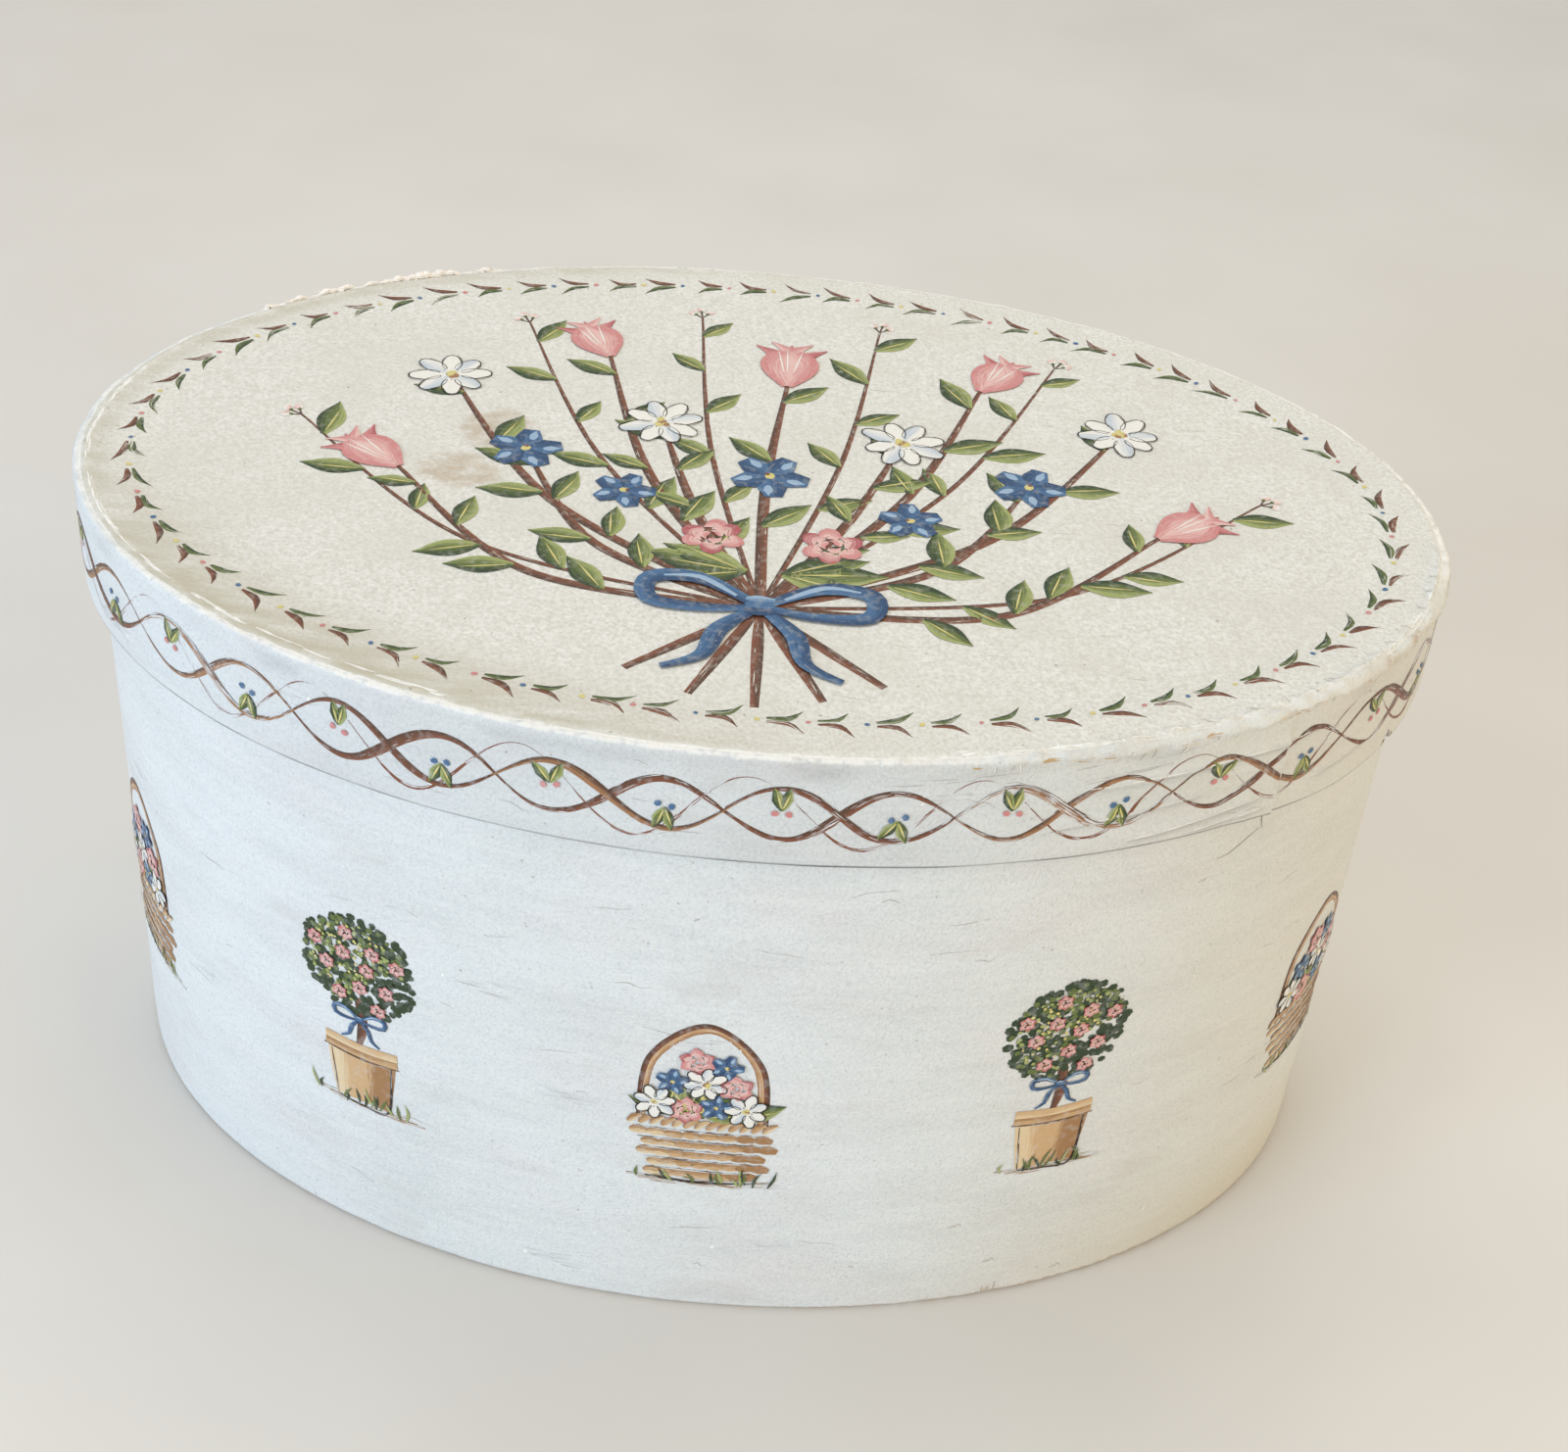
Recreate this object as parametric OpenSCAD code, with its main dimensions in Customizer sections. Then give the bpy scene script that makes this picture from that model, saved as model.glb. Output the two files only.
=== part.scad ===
// Oval bandbox: a bent pasteboard body with a lift-off lid, papered inside and out.
// The length runs along X, the front faces -Y, and the box stands on Z = 0 with its lid closed.

/* [Body] */
// Outside length of the papered body
body_l = 224; // [140:1:400]
// Outside width of the papered body
body_w = 150; // [100:1:300]
// Height of the body from the table to its rim
body_h = 121; // [60:1:240]
// Thickness of the bent side wall
wall_t = 1.6; // [1:0.1:4]
// Thickness of the floor board
floor_t = 2; // [1:0.1:5]

/* [Lid] */
// Depth of the lid from its top to its lower edge
lid_h = 20; // [14:0.5:50]
// Running gap on each side between the body and the lid at its tightest
lid_gap = 0.8; // [0.4:0.1:2]
// Thickness of the lid's bent band
band_t = 1.4; // [1:0.1:4]
// Thickness of the lid's top board
lid_board_t = 1.8; // [1:0.1:5]
// Margin of the band's paper that shows round the lid top's own sheet
lid_margin = 1; // [0.5:0.1:4]

/* [Papers] */
// Thickness of the outer paper
cover_t = 0.3; // [0.2:0.05:0.6]
// Thickness of the lining paper
lining_t = 0.25; // [0.15:0.05:0.5]
// Width of the turned-over tabs under the base and on the lid top
tab_w = 9; // [6:0.5:14]
// Number of notches between the tabs
notch_count = 40; // [16:1:72]
// Width of a notch where it opens
notch_w = 4; // [1:0.5:6]
// Plain paper left between a notch and the folded edge
notch_start = 3; // [2:0.5:5]
// Margin of the tabs that shows round the base sheet
base_margin = 1.5; // [1:0.1:4]
// Depth of the fold inside the body's rim
rim_fold = 12; // [6:0.5:25]
// Height of the fold inside the lid's lower edge
lid_fold = 7; // [4:0.5:9]
// Bare fold left between a rim and the edge of the lining
lining_drop = 4; // [2:0.5:5]
// Width of the lapped end of an outer paper
lap_w = 9; // [4:0.5:20]

/* [Seams] */
// Gap left where the two ends of a bent strip meet
seam_gap = 0.5; // [0.2:0.1:1.5]
// Width of the tape behind a seam
tape_w = 24; // [12:1:40]
// Thickness of the tape
tape_t = 0.2; // [0.1:0.05:0.4]
// Place of the body's seam round the oval, in degrees from +X
side_seam_angle = 90; // [0:1:359]
// Place of the lap in the body's paper, in degrees from +X
side_lap_angle = 104; // [0:1:359]
// Place of the lid band's seam, in degrees from +X
lid_seam_angle = 333; // [0:1:359]
// Place of the lap in the lid band's paper, in degrees from +X
lid_lap_angle = 314; // [0:1:359]

/* [Hidden] */

oval_sides = 120;
cut_past = 1;
wedge_reach = 2;

// Insets from the body's outside; what lies outside it is negative
wall_in = cover_t + wall_t;
tabs_in = tab_w + cover_t;
band_in = -(lid_gap + cover_t + lining_t);
lid_out = band_in - band_t - cover_t;
lid_tabs_in = lid_out + tab_w + cover_t;

// Heights
wrap_low = cover_t;
board_low = 2*cover_t;
floor_top = board_low + floor_t;
rim_fold_low = body_h - rim_fold;
lid_board_low = body_h + lining_t;
lid_board_top = lid_board_low + lid_board_t;
lid_wrap_top = lid_board_top + cover_t;
lid_top = lid_wrap_top + cover_t;
lid_low = lid_top - lid_h;
lid_fold_top = lid_low + lid_fold;

kraft = "#A9855A";
painted_white = "#ECEAE4";
lid_cream = "#DDD8C8";
lining_white = "#E6E0D2";
tape_brown = "#B98F5C";

// A point of the oval at an inset from the body's outside
function oval_point(inset, t) = [(body_l/2 - inset)*cos(t), (body_w/2 - inset)*sin(t)];

function oval(inset) = [for (i = [0:oval_sides - 1]) oval_point(inset, 360*i/oval_sides)];

// The direction square to the oval at t, and the degrees of t that a width along it takes
function square_to(t) = atan2(sin(t)/body_w, cos(t)/body_l);

function sweep(width, t) = width*180/PI/norm([body_l/2*sin(t), body_w/2*cos(t)]);

module slab(inset, low, high) {
  translate([0, 0, low])
    linear_extrude(high - low) polygon(oval(inset));
}

module hoop(outer, inner, low, high) {
  translate([0, 0, low])
    linear_extrude(high - low)
      difference() {
        polygon(oval(outer));
        polygon(oval(inner));
      }
}

// A sector of a hoop, as wide as a strip that lies across t
module patch(outer, inner, low, high, t, width) {
  half = sweep(width, t)/2;
  translate([0, 0, low])
    linear_extrude(high - low)
      intersection() {
        difference() {
          polygon(oval(outer));
          polygon(oval(inner));
        }
        polygon([[0, 0], for (k = [-1:1]) wedge_reach*oval_point(0, t + k*half)]);
      }
}

// A bent strip, cut through where its two ends meet
module strip(outer, inner, low, high, t) {
  translate([0, 0, low])
    linear_extrude(high - low)
      difference() {
        polygon(oval(outer));
        polygon(oval(inner));
        translate(oval_point((outer + inner)/2, t))
          rotate(square_to(t))
            square([2*(inner - outer), seam_gap], center = true);
      }
}

// The notches that let a paper edge turn over round the oval
module notches(edge, tabs_end, low, high) {
  translate([0, 0, low])
    linear_extrude(high - low)
      for (i = [0:notch_count - 1]) {
        t = 360*(i + 0.5)/notch_count;
        half = sweep(notch_w, t)/2;
        polygon([oval_point(edge + notch_start, t),
                 oval_point(tabs_end + cut_past, t - half),
                 oval_point(tabs_end + cut_past, t + half)]);
      }
}

// The body

module side_wall() {
  color(kraft)
    strip(cover_t, wall_in, board_low, body_h - cover_t, side_seam_angle);
}

module side_tape() {
  color(tape_brown)
    patch(wall_in, wall_in + tape_t, floor_top, rim_fold_low, side_seam_angle, tape_w);
}

module floor_board() {
  color(kraft)
    slab(wall_in, board_low, floor_top);
}

module side_wrap() {
  color(painted_white)
    difference() {
      union() {
        slab(0, wrap_low, body_h);
        patch(-cover_t, wall_in, wrap_low, body_h, side_lap_angle, lap_w);
      }
      slab(cover_t, board_low, rim_fold_low);
      hoop(cover_t, wall_in, rim_fold_low - cut_past, body_h - cover_t);
      slab(wall_in + cover_t, rim_fold_low - cut_past, body_h + cut_past);
      slab(tabs_in, wrap_low - cut_past, board_low + cut_past);
      notches(0, tabs_in, wrap_low - cut_past, board_low + cut_past);
    }
}

// The base sheet lies over the tabs and steps up to the floor board inside them
module base_paper() {
  color(lining_white)
    difference() {
      union() {
        slab(base_margin, 0, cover_t);
        slab(tabs_in, 0, board_low);
      }
      slab(tabs_in + cover_t, -cut_past, cover_t);
    }
}

// The lining swells over the tape and laps the rim's fold
module side_liner() {
  color(lining_white)
    difference() {
      union() {
        slab(wall_in, floor_top, rim_fold_low);
        slab(wall_in + cover_t, floor_top, body_h - lining_drop);
      }
      difference() {
        slab(wall_in + lining_t, floor_top - cut_past, rim_fold_low - lining_t);
        patch(wall_in, wall_in + tape_t + lining_t, floor_top - cut_past, body_h,
              side_seam_angle, tape_w + 2*lining_t);
      }
      slab(wall_in + max(cover_t, tape_t) + lining_t, floor_top - cut_past, body_h);
      side_tape();
    }
}

module floor_liner() {
  color(lining_white)
    slab(wall_in + max(cover_t, tape_t) + lining_t, floor_top, floor_top + lining_t);
}

// The lid

module lid_board() {
  color(kraft)
    slab(band_in, lid_board_low, lid_board_top);
}

module lid_band() {
  color(kraft)
    strip(lid_out + cover_t, band_in, lid_low + cover_t, lid_board_top, lid_seam_angle);
}

module lid_tape() {
  color(tape_brown)
    patch(band_in, band_in + tape_t, lid_fold_top, body_h, lid_seam_angle, tape_w);
}

module lid_wrap() {
  color(painted_white)
    difference() {
      union() {
        slab(lid_out, lid_low, lid_wrap_top);
        patch(lid_out - cover_t, band_in, lid_low, lid_wrap_top, lid_lap_angle, lap_w);
      }
      slab(lid_out + cover_t, lid_fold_top, lid_board_top);
      hoop(lid_out + cover_t, band_in, lid_low + cover_t, lid_fold_top + cut_past);
      slab(band_in + cover_t, lid_low - cut_past, lid_fold_top + cut_past);
      slab(lid_tabs_in, lid_board_top - cut_past, lid_wrap_top + cut_past);
      notches(lid_out, lid_tabs_in, lid_board_top - cut_past, lid_wrap_top + cut_past);
    }
}

// The top sheet lies over the tabs and steps down to the board inside them
module lid_top_paper() {
  color(lid_cream)
    difference() {
      union() {
        slab(lid_out + lid_margin, lid_wrap_top, lid_top);
        slab(lid_tabs_in, lid_board_top, lid_top);
      }
      slab(lid_tabs_in + cover_t, lid_wrap_top, lid_top + cut_past);
    }
}

module lid_liner() {
  color(lining_white)
    slab(band_in, body_h, lid_board_low);
}

// The band's lining swells over the tape and laps the fold of the lower edge
module lid_band_liner() {
  color(lining_white)
    difference() {
      union() {
        slab(band_in, lid_fold_top, body_h);
        slab(band_in + cover_t, lid_low + lining_drop, body_h);
      }
      difference() {
        slab(band_in + lining_t, lid_fold_top + lining_t, body_h + cut_past);
        patch(band_in, band_in + tape_t + lining_t, lid_low, body_h + cut_past,
              lid_seam_angle, tape_w + 2*lining_t);
      }
      slab(band_in + max(cover_t, tape_t) + lining_t, lid_low, body_h + cut_past);
      lid_tape();
    }
}

side_wall();
side_tape();
floor_board();
side_wrap();
base_paper();
side_liner();
floor_liner();
lid_board();
lid_band();
lid_tape();
lid_wrap();
lid_top_paper();
lid_liner();
lid_band_liner();
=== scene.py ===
import functools
import math
import random

import bpy
from mathutils import Matrix, Vector, noise


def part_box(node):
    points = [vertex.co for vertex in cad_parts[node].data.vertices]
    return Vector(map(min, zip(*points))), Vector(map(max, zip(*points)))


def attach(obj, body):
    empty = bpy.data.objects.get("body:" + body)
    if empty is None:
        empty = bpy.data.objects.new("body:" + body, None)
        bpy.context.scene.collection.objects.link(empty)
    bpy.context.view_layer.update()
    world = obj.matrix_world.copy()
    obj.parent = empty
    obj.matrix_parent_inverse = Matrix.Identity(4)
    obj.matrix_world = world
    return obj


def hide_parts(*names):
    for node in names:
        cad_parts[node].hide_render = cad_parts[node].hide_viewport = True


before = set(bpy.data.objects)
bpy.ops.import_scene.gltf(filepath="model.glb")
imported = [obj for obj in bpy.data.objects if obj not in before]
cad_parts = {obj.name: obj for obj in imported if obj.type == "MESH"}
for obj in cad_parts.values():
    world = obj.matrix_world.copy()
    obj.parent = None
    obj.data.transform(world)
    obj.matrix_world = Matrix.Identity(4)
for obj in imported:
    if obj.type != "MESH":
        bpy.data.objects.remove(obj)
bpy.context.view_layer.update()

# Sizes are in millimetres from here on; a mesh turns them to metres when it is made
MM = 0.001

# Fixed seeds for the unevenness of the hand and for the torn slivers
HAND_SEED, SLIVER_SEED = 7, 11
random.seed(HAND_SEED)


def node_box(name):
    """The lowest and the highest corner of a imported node."""
    low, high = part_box(name)
    return low / MM, high / MM


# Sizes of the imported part
SIDE_LOW, SIDE_HIGH = node_box("side_wrap")
SIDE_LINER_LOW, SIDE_LINER_HIGH = node_box("side_liner")
FLOOR_LINER_LOW, FLOOR_LINER_HIGH = node_box("floor_liner")
BASE_LOW, BASE_HIGH = node_box("base_paper")
LID_LOW, LID_HIGH = node_box("lid_wrap")
LID_LINER_LOW, LID_LINER_HIGH = node_box("lid_liner")
BAND_LINER_LOW, BAND_LINER_HIGH = node_box("lid_band_liner")
TOP_SHEET_HIGH = node_box("lid_top_paper")[1]
FLOOR_BOARD_HIGH = node_box("floor_board")[1]

BODY_HALF = (SIDE_HIGH.x, SIDE_HIGH.y)
LID_HALF = (LID_HIGH.x, LID_HIGH.y)
PAPER = TOP_SHEET_HIGH.z - LID_HIGH.z
LINING = FLOOR_LINER_HIGH.z - FLOOR_LINER_LOW.z
WALL_INSET = BODY_HALF[0] - FLOOR_BOARD_HIGH.x
FLOOR_LINER_INSET = BODY_HALF[0] - FLOOR_LINER_HIGH.x
BASE_MARGIN = BODY_HALF[0] - BASE_HIGH.x
BAND_INSET = LID_HALF[0] - LID_LINER_HIGH.x
TOP_MARGIN = LID_HALF[0] - TOP_SHEET_HIGH.x

# Folds and laps, as the part has them, and how far a folded paper edge is rounded
TAB_REACH = 9.3
RIM_FOLD = 12.0
LID_FOLD = 7.0
LAP_WIDTH = 9.0
SIDE_LAP_ANGLE = 104.0
LID_LAP_ANGLE = -46.0
EDGE_ROUND = 0.8

# How finely the meshes are divided: stations round the oval, rows up a wall and rings of a sheet
SIDE_STATIONS, BAND_STATIONS, LINING_STATIONS, TOP_STATIONS = 480, 840, 240, 660
SIDE_ROWS, BAND_ROWS, LINING_ROWS = 44, 36, 12
BASE_RINGS, FLOOR_RINGS, TOP_RINGS, LID_LINER_RINGS = 48, 40, 68, 30


# The oval

# Steps in which it is measured and walked along, and half the degrees between a close pair of stations
OVAL_STEPS = 720
WALK_STEPS = 3600
BREAK_HALF = 0.03


def oval_point(half, angle, inset=0.0):
    """The point of an oval at its own angle in degrees, or that far inside it."""
    turn = math.radians(angle)
    return (half[0] - inset) * math.cos(turn), (half[1] - inset) * math.sin(turn)


def oval_angle(half, x, y):
    """The oval's own angle, in degrees, on the way from its middle to a place."""
    return math.degrees(math.atan2(y / half[1], x / half[0]))


def oval_share(half, x, y):
    """How far out a place lies: 0 in the middle of the oval and 1 on it."""
    return math.hypot(x / half[0], y / half[1])


def oval_speed(half, angle):
    """Millimetres along the oval for one degree of its angle."""
    turn = math.radians(angle)
    return math.radians(math.hypot(half[0] * math.sin(turn), half[1] * math.cos(turn)))


def oval_run(half, start=0.0, end=360.0):
    """Millimetres along the oval between two angles."""
    width = (end - start) / OVAL_STEPS
    return sum(oval_speed(half, start + width * (k + 0.5)) * width for k in range(OVAL_STEPS))


def from_front(half, angle):
    """Millimetres along the oval from its front centre, to the right."""
    return oval_run(half, -90.0, angle)


def even_angles(half, count):
    """Angles of points that lie evenly along the oval."""
    whole = oval_run(half)
    angles, walked, angle = [], 0.0, 0.0
    while len(angles) < count:
        if walked >= whole * len(angles) / count:
            angles.append(angle)
        walked += oval_speed(half, angle) * 360.0 / WALK_STEPS
        angle += 360.0 / WALK_STEPS
    return angles


def angle_gap(a, b):
    """Signed degrees from b to a, the short way round."""
    return (a - b + 180.0) % 360.0 - 180.0


def stations(count, *breaks):
    """Angles round the oval, with a close pair of stations at each break."""
    angles = [360.0 * i / count - 180.0 for i in range(count)]
    for at in breaks:
        angles += [at - BREAK_HALF, at + BREAK_HALF]
    return sorted(angles)


# Soft changes from one value to another

def smooth_step(low, high, value):
    """0 up to low, 1 from high."""
    share = min(max((value - low) / (high - low), 0.0), 1.0)
    return share * share * (3.0 - 2.0 * share)


def fade_out(low, high, value):
    """1 up to low, 0 from high."""
    return 1.0 - smooth_step(low, high, value)


# A hump has died away at this many widths
HUMP_END = 3.0


def hump(away, width):
    """1 in the middle of a soft hump, less with the distance from it."""
    return math.exp(-(away / width) ** 2)


def uneven(grain, *place):
    """Smooth noise between -1 and 1, its grain in millimetres; a plain number for z picks a layer of it."""
    return noise.noise(Vector(place) / grain)


def ripple(size, *place):
    """Unevenness at a place, in millimetres, from a height and a grain."""
    height, grain = size
    return height * uneven(grain, *place)


# Making a piece

# Degrees between two faces from which their edge is sharp
SHARP_ANGLE = 40.0


def finish_piece(name, mesh, body):
    """A mesh as a smooth piece that rides on a body."""
    mesh.validate()
    mesh.shade_smooth()
    mesh.set_sharp_from_angle(angle=math.radians(SHARP_ANGLE))
    piece = bpy.data.objects.new(name, mesh)
    bpy.context.scene.collection.objects.link(piece)
    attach(piece, body)
    return piece


def new_piece(name, shape, material, body, slot, replaces, **masks):
    """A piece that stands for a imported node, from points and faces; a mask gives each point a value."""
    points, faces = shape
    mesh = bpy.data.meshes.new(name)
    mesh.from_pydata([Vector(p) * MM for p in points], [], faces)
    mesh.materials.append(material)
    piece = finish_piece(name, mesh, body)
    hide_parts(replaces)
    for label, mask in masks.items():
        layer = mesh.attributes.new(label, "FLOAT", "POINT")
        layer.data.foreach_set("value", [mask(*p) for p in points])
    return piece


def sweep_round_oval(half, angles, section):
    """A closed section carried round the oval.

    Its (inset, height) pairs run up its outside and down its inside.
    """
    points = []
    for angle in angles:
        for inset, height in section(angle):
            points.append((*oval_point(half, angle, inset), height))
    ring = len(points) // len(angles)
    faces = []
    for i in range(len(angles)):
        j = (i + 1) % len(angles)
        for k in range(ring):
            m = (k + 1) % ring
            faces.append((i * ring + k, j * ring + k, j * ring + m, i * ring + m))
    return points, faces


# Rings of a sheet lie closer by this power towards its edge
EDGE_CROWDING = 1.6


def oval_sheet(half, edge_inset, rings, count, top, thickness):
    """A closed thin oval sheet whose upper face is top(x, y, inset, angle).

    Insets are measured from half.
    """
    angles = stations(count)
    points = [(0.0, 0.0, top(0.0, 0.0, min(half), 0.0))]
    for k in range(rings):
        share = 1.0 - (1.0 - (k + 1) / rings) ** EDGE_CROWDING
        for angle in angles:
            edge_x, edge_y = oval_point(half, angle, edge_inset)
            x, y = share * edge_x, share * edge_y
            inset = edge_inset + (1.0 - share) * math.hypot(edge_x, edge_y)
            points.append((x, y, top(x, y, inset, angle)))
    upper = len(points)
    points += [(x, y, z - thickness) for x, y, z in points]
    faces = []
    for i in range(count):
        j = (i + 1) % count
        faces.append((0, 1 + i, 1 + j))
        faces.append((upper, upper + 1 + j, upper + 1 + i))
        for k in range(rings - 1):
            a, b = 1 + k * count, 1 + (k + 1) * count
            faces.append((a + i, b + i, b + j, a + j))
            faces.append((upper + a + j, upper + b + j, upper + b + i, upper + a + i))
        last = 1 + (rings - 1) * count
        faces.append((last + i, upper + last + i, upper + last + j, last + j))
    return points, faces


def round_corner(centre_inset, centre_height, radius, start, end, steps=4):
    """Points of a rounded edge; angle 0 points outwards and 90 up."""
    turns = [math.radians(start + (end - start) * k / steps) for k in range(steps + 1)]
    return [(centre_inset - radius * math.cos(a), centre_height + radius * math.sin(a)) for a in turns]


# Materials

def linear(hex_colour):
    """An sRGB hex value as the linear colour that a shader takes."""
    channels = [int(hex_colour[k:k + 2], 16) / 255.0 for k in (1, 3, 5)]
    return [c / 12.92 if c <= 0.04045 else ((c + 0.055) / 1.055) ** 2.4 for c in channels] + [1.0]


def node(tree, kind, inputs=None, out=0, **settings):
    """Adds one node with its settings and links, and gives one of its outputs, or all of them."""
    made = tree.nodes.new(kind)
    for key, value in settings.items():
        setattr(made, key, value)
    for socket, value in (inputs or {}).items():
        given = value if isinstance(value, list) else [value]
        sources = [source for source in given if isinstance(source, bpy.types.NodeSocket)]
        for source in sources:
            tree.links.new(source, made.inputs[socket])
        if not sources:
            made.inputs[socket].default_value = value
    if out == "all":
        return made.outputs
    return made.outputs[out] if made.outputs else None


def material_tree(name):
    """A new material and its empty tree."""
    material = bpy.data.materials.new(name)
    material.use_nodes = True
    material.node_tree.nodes.clear()
    return material, material.node_tree


def patches(tree, size_mm, low, high, detail=3.0):
    """A mask of soft patches that measure size_mm along X, Y and Z."""
    place = node(tree, "ShaderNodeTexCoord", out="Object")
    grains = [1.0 / (size * MM) for size in size_mm]
    place = node(tree, "ShaderNodeMapping", {"Vector": place, "Scale": grains})
    cloud = node(tree, "ShaderNodeTexNoise", {"Vector": place, "Scale": 1.0, "Detail": detail})
    return node(tree, "ShaderNodeMapRange", {0: cloud, 1: low, 2: high})


def layered(tree, ground, coats):
    """A ground under coats of other colours, each shown by its share where all its masks are.

    A mask that is a name is one of the mesh's own.
    """
    colour = linear(ground) if isinstance(ground, str) else ground
    for hex_colour, share, *masks in coats:
        for mask in masks:
            if isinstance(mask, str):
                mask = node(tree, "ShaderNodeAttribute", out="Fac", attribute_name=mask)
            share = node(tree, "ShaderNodeMath", {0: share, 1: mask}, operation="MULTIPLY")
        sides = {0: share, 6: colour, 7: linear(hex_colour)}
        colour = node(tree, "ShaderNodeMix", sides, 2, data_type="RGBA")
    return colour


def coated(tree, colour, height, depth_mm, roughness, specular):
    """The shader that every finish here ends in: a colour, a fine relief and a gloss."""
    relief = node(tree, "ShaderNodeBump", {"Height": height, "Distance": depth_mm * MM})
    finish = {"Base Color": colour, "Roughness": roughness, "Specular IOR Level": specular, "Normal": relief}
    shader = node(tree, "ShaderNodeBsdfPrincipled", finish)
    node(tree, "ShaderNodeOutputMaterial", {"Surface": shader})


# Real paper's tooth and pulp are too fine to show in the render, so both are drawn coarser, in millimetres
PAPER_TOOTH = (0.5, 0.5, 0.5)
CREAM_PULP = (0.6, 0.75, 0.6)


def brushed_white_paint():
    """White acrylic brushed on toothy paper: satin, in broad level tones.

    It has grey handling, pits and rubbed edges; the white of the edges is partly a painted highlight,
    the yellowing partly painted warm light, and the darkening a dark line and painted shade.
    """
    material, tree = material_tree("brushed_white_acrylic_on_paper")
    tooth = patches(tree, PAPER_TOOTH, 0.34, 0.66, 2.0)
    colour = layered(tree, "#E2E8E9", (
        ("#D8DDDD", 1.0, patches(tree, (36.0, 36.0, 11.0), 0.40, 0.66)),
        ("#E3DEDF", 0.45, patches(tree, (26.0, 26.0, 13.0), 0.50, 0.72)),
        ("#F3F6F4", 0.30, patches(tree, (11.0, 11.0, 1.5), 0.42, 0.70)),
        ("#F6F8F6", 0.40, tooth),
        ("#BFC3C2", 0.38, patches(tree, (0.55, 0.55, 0.55), 0.50, 0.74, 2.0)),
        ("#CECAC6", 0.45, patches(tree, (22.0, 22.0, 9.0), 0.60, 0.80)),
        ("#A29D95", 0.55, patches(tree, (1.2, 1.2, 1.2), 0.77, 0.80, 1.0)),
        # Yellowing, partly painted warm light
        ("#DDD3B8", 1.0, "toned"),
        # Rubbed white edge, partly a painted highlight
        ("#FDFCF6", 1.0, "rubbed", patches(tree, (1.6, 1.6, 1.6), 0.32, 0.50)),
        # Darkening: a dark line on the band's lower edge, and painted shade below the lid's edge on the side,
        # below the band's folds and in a film over the band
        ("#55565A", 1.0, "grime"),
        ("#B58F63", 1.0, "wear", patches(tree, (1.6, 1.6, 1.0), 0.40, 0.62, 4.0)),
    ))
    coated(tree, colour, tooth, depth_mm=0.07, roughness=0.5, specular=0.35)
    return material


def mottled_cream_paper():
    """Uncoated cream paper: matte, with felted pulp, pale fibres, a few specks, a stain and toned edges."""
    material, tree = material_tree("mottled_cream_paper")
    pulp = patches(tree, CREAM_PULP, 0.34, 0.68, 2.0)
    colour = layered(tree, "#EBEAE3", (
        ("#CAC8BC", 0.64, pulp),
        ("#F8F7F2", 0.55, patches(tree, (0.9, 0.7, 0.6), 0.52, 0.70, 2.0)),
        ("#DAD8CD", 0.45, patches(tree, (19.0, 14.0, 9.0), 0.42, 0.68)),
        ("#C5BFAB", 1.0, "edge_tone", patches(tree, (11.0, 3.0, 3.0), 0.20, 0.60)),
        ("#8F8878", 0.6, patches(tree, (1.1, 1.1, 1.1), 0.765, 0.80, 1.0)),
        ("#BDA98E", 1.0, "stain", patches(tree, (3.0, 2.0, 2.0), 0.25, 0.60, 4.0)),
        # The rubbed ridge, and a whitened cut edge that is partly a painted highlight
        ("#FBFAF5", 1.0, "rubbed", patches(tree, (1.5, 1.5, 1.5), 0.26, 0.50)),
    ))
    coated(tree, colour, pulp, depth_mm=0.06, roughness=0.75, specular=0.25)
    return material


def plain_lining_paper():
    """Thin uncoated off-white lining paper, pasted by hand: matte, a little uneven, with faint foxing."""
    material, tree = material_tree("uncoated_lining_paper")
    fibre = patches(tree, (1.2, 1.2, 1.2), 0.35, 0.70, 4.0)
    colour = layered(tree, "#DDD6C6", (
        ("#E9E4D8", 1.0, fibre),
        ("#D2C8B2", 0.5, patches(tree, (30.0, 30.0, 30.0), 0.45, 0.75)),
        ("#C2A67C", 0.35, patches(tree, (9.0, 9.0, 9.0), 0.66, 0.78)),
    ))
    coated(tree, colour, fibre, depth_mm=0.05, roughness=0.85, specular=0.2)
    return material


def raw_pasteboard():
    """Brown pulp board as it comes off the roll: matte, with dark and light pulp flecks."""
    material, tree = material_tree("raw_kraft_pasteboard")
    pulp = patches(tree, (0.8, 0.8, 0.8), 0.35, 0.65, 4.0)
    colour = layered(tree, "#94734B", (
        ("#B8946A", 1.0, pulp),
        ("#6F5637", 0.5, patches(tree, (2.5, 0.5, 0.5), 0.66, 0.74)),
    ))
    coated(tree, colour, pulp, depth_mm=0.08, roughness=0.9, specular=0.2)
    return material


def gummed_tape():
    """Gummed kraft tape: smoother and redder than the board, with long fibres and the sheen of dried gum."""
    material, tree = material_tree("gummed_kraft_tape")
    fibre = patches(tree, (0.7, 0.7, 6.0), 0.35, 0.70)
    colour = layered(tree, "#B5854F", (("#C99C67", 1.0, fibre),))
    coated(tree, colour, fibre, depth_mm=0.03, roughness=0.45, specular=0.4)
    return material


def torn_paper():
    """The broken edge of pasted paper: fuzzy and pale, pinkish where the board's pulp comes away with it."""
    material, tree = material_tree("torn_paper_fibre")
    fibre = patches(tree, (0.5, 0.5, 0.5), 0.40, 0.62)
    colour = layered(tree, "#FDF9F2", (("#F4E7DB", 0.6, fibre),))
    coated(tree, colour, fibre, depth_mm=0.05, roughness=0.95, specular=0.1)
    return material


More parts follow.
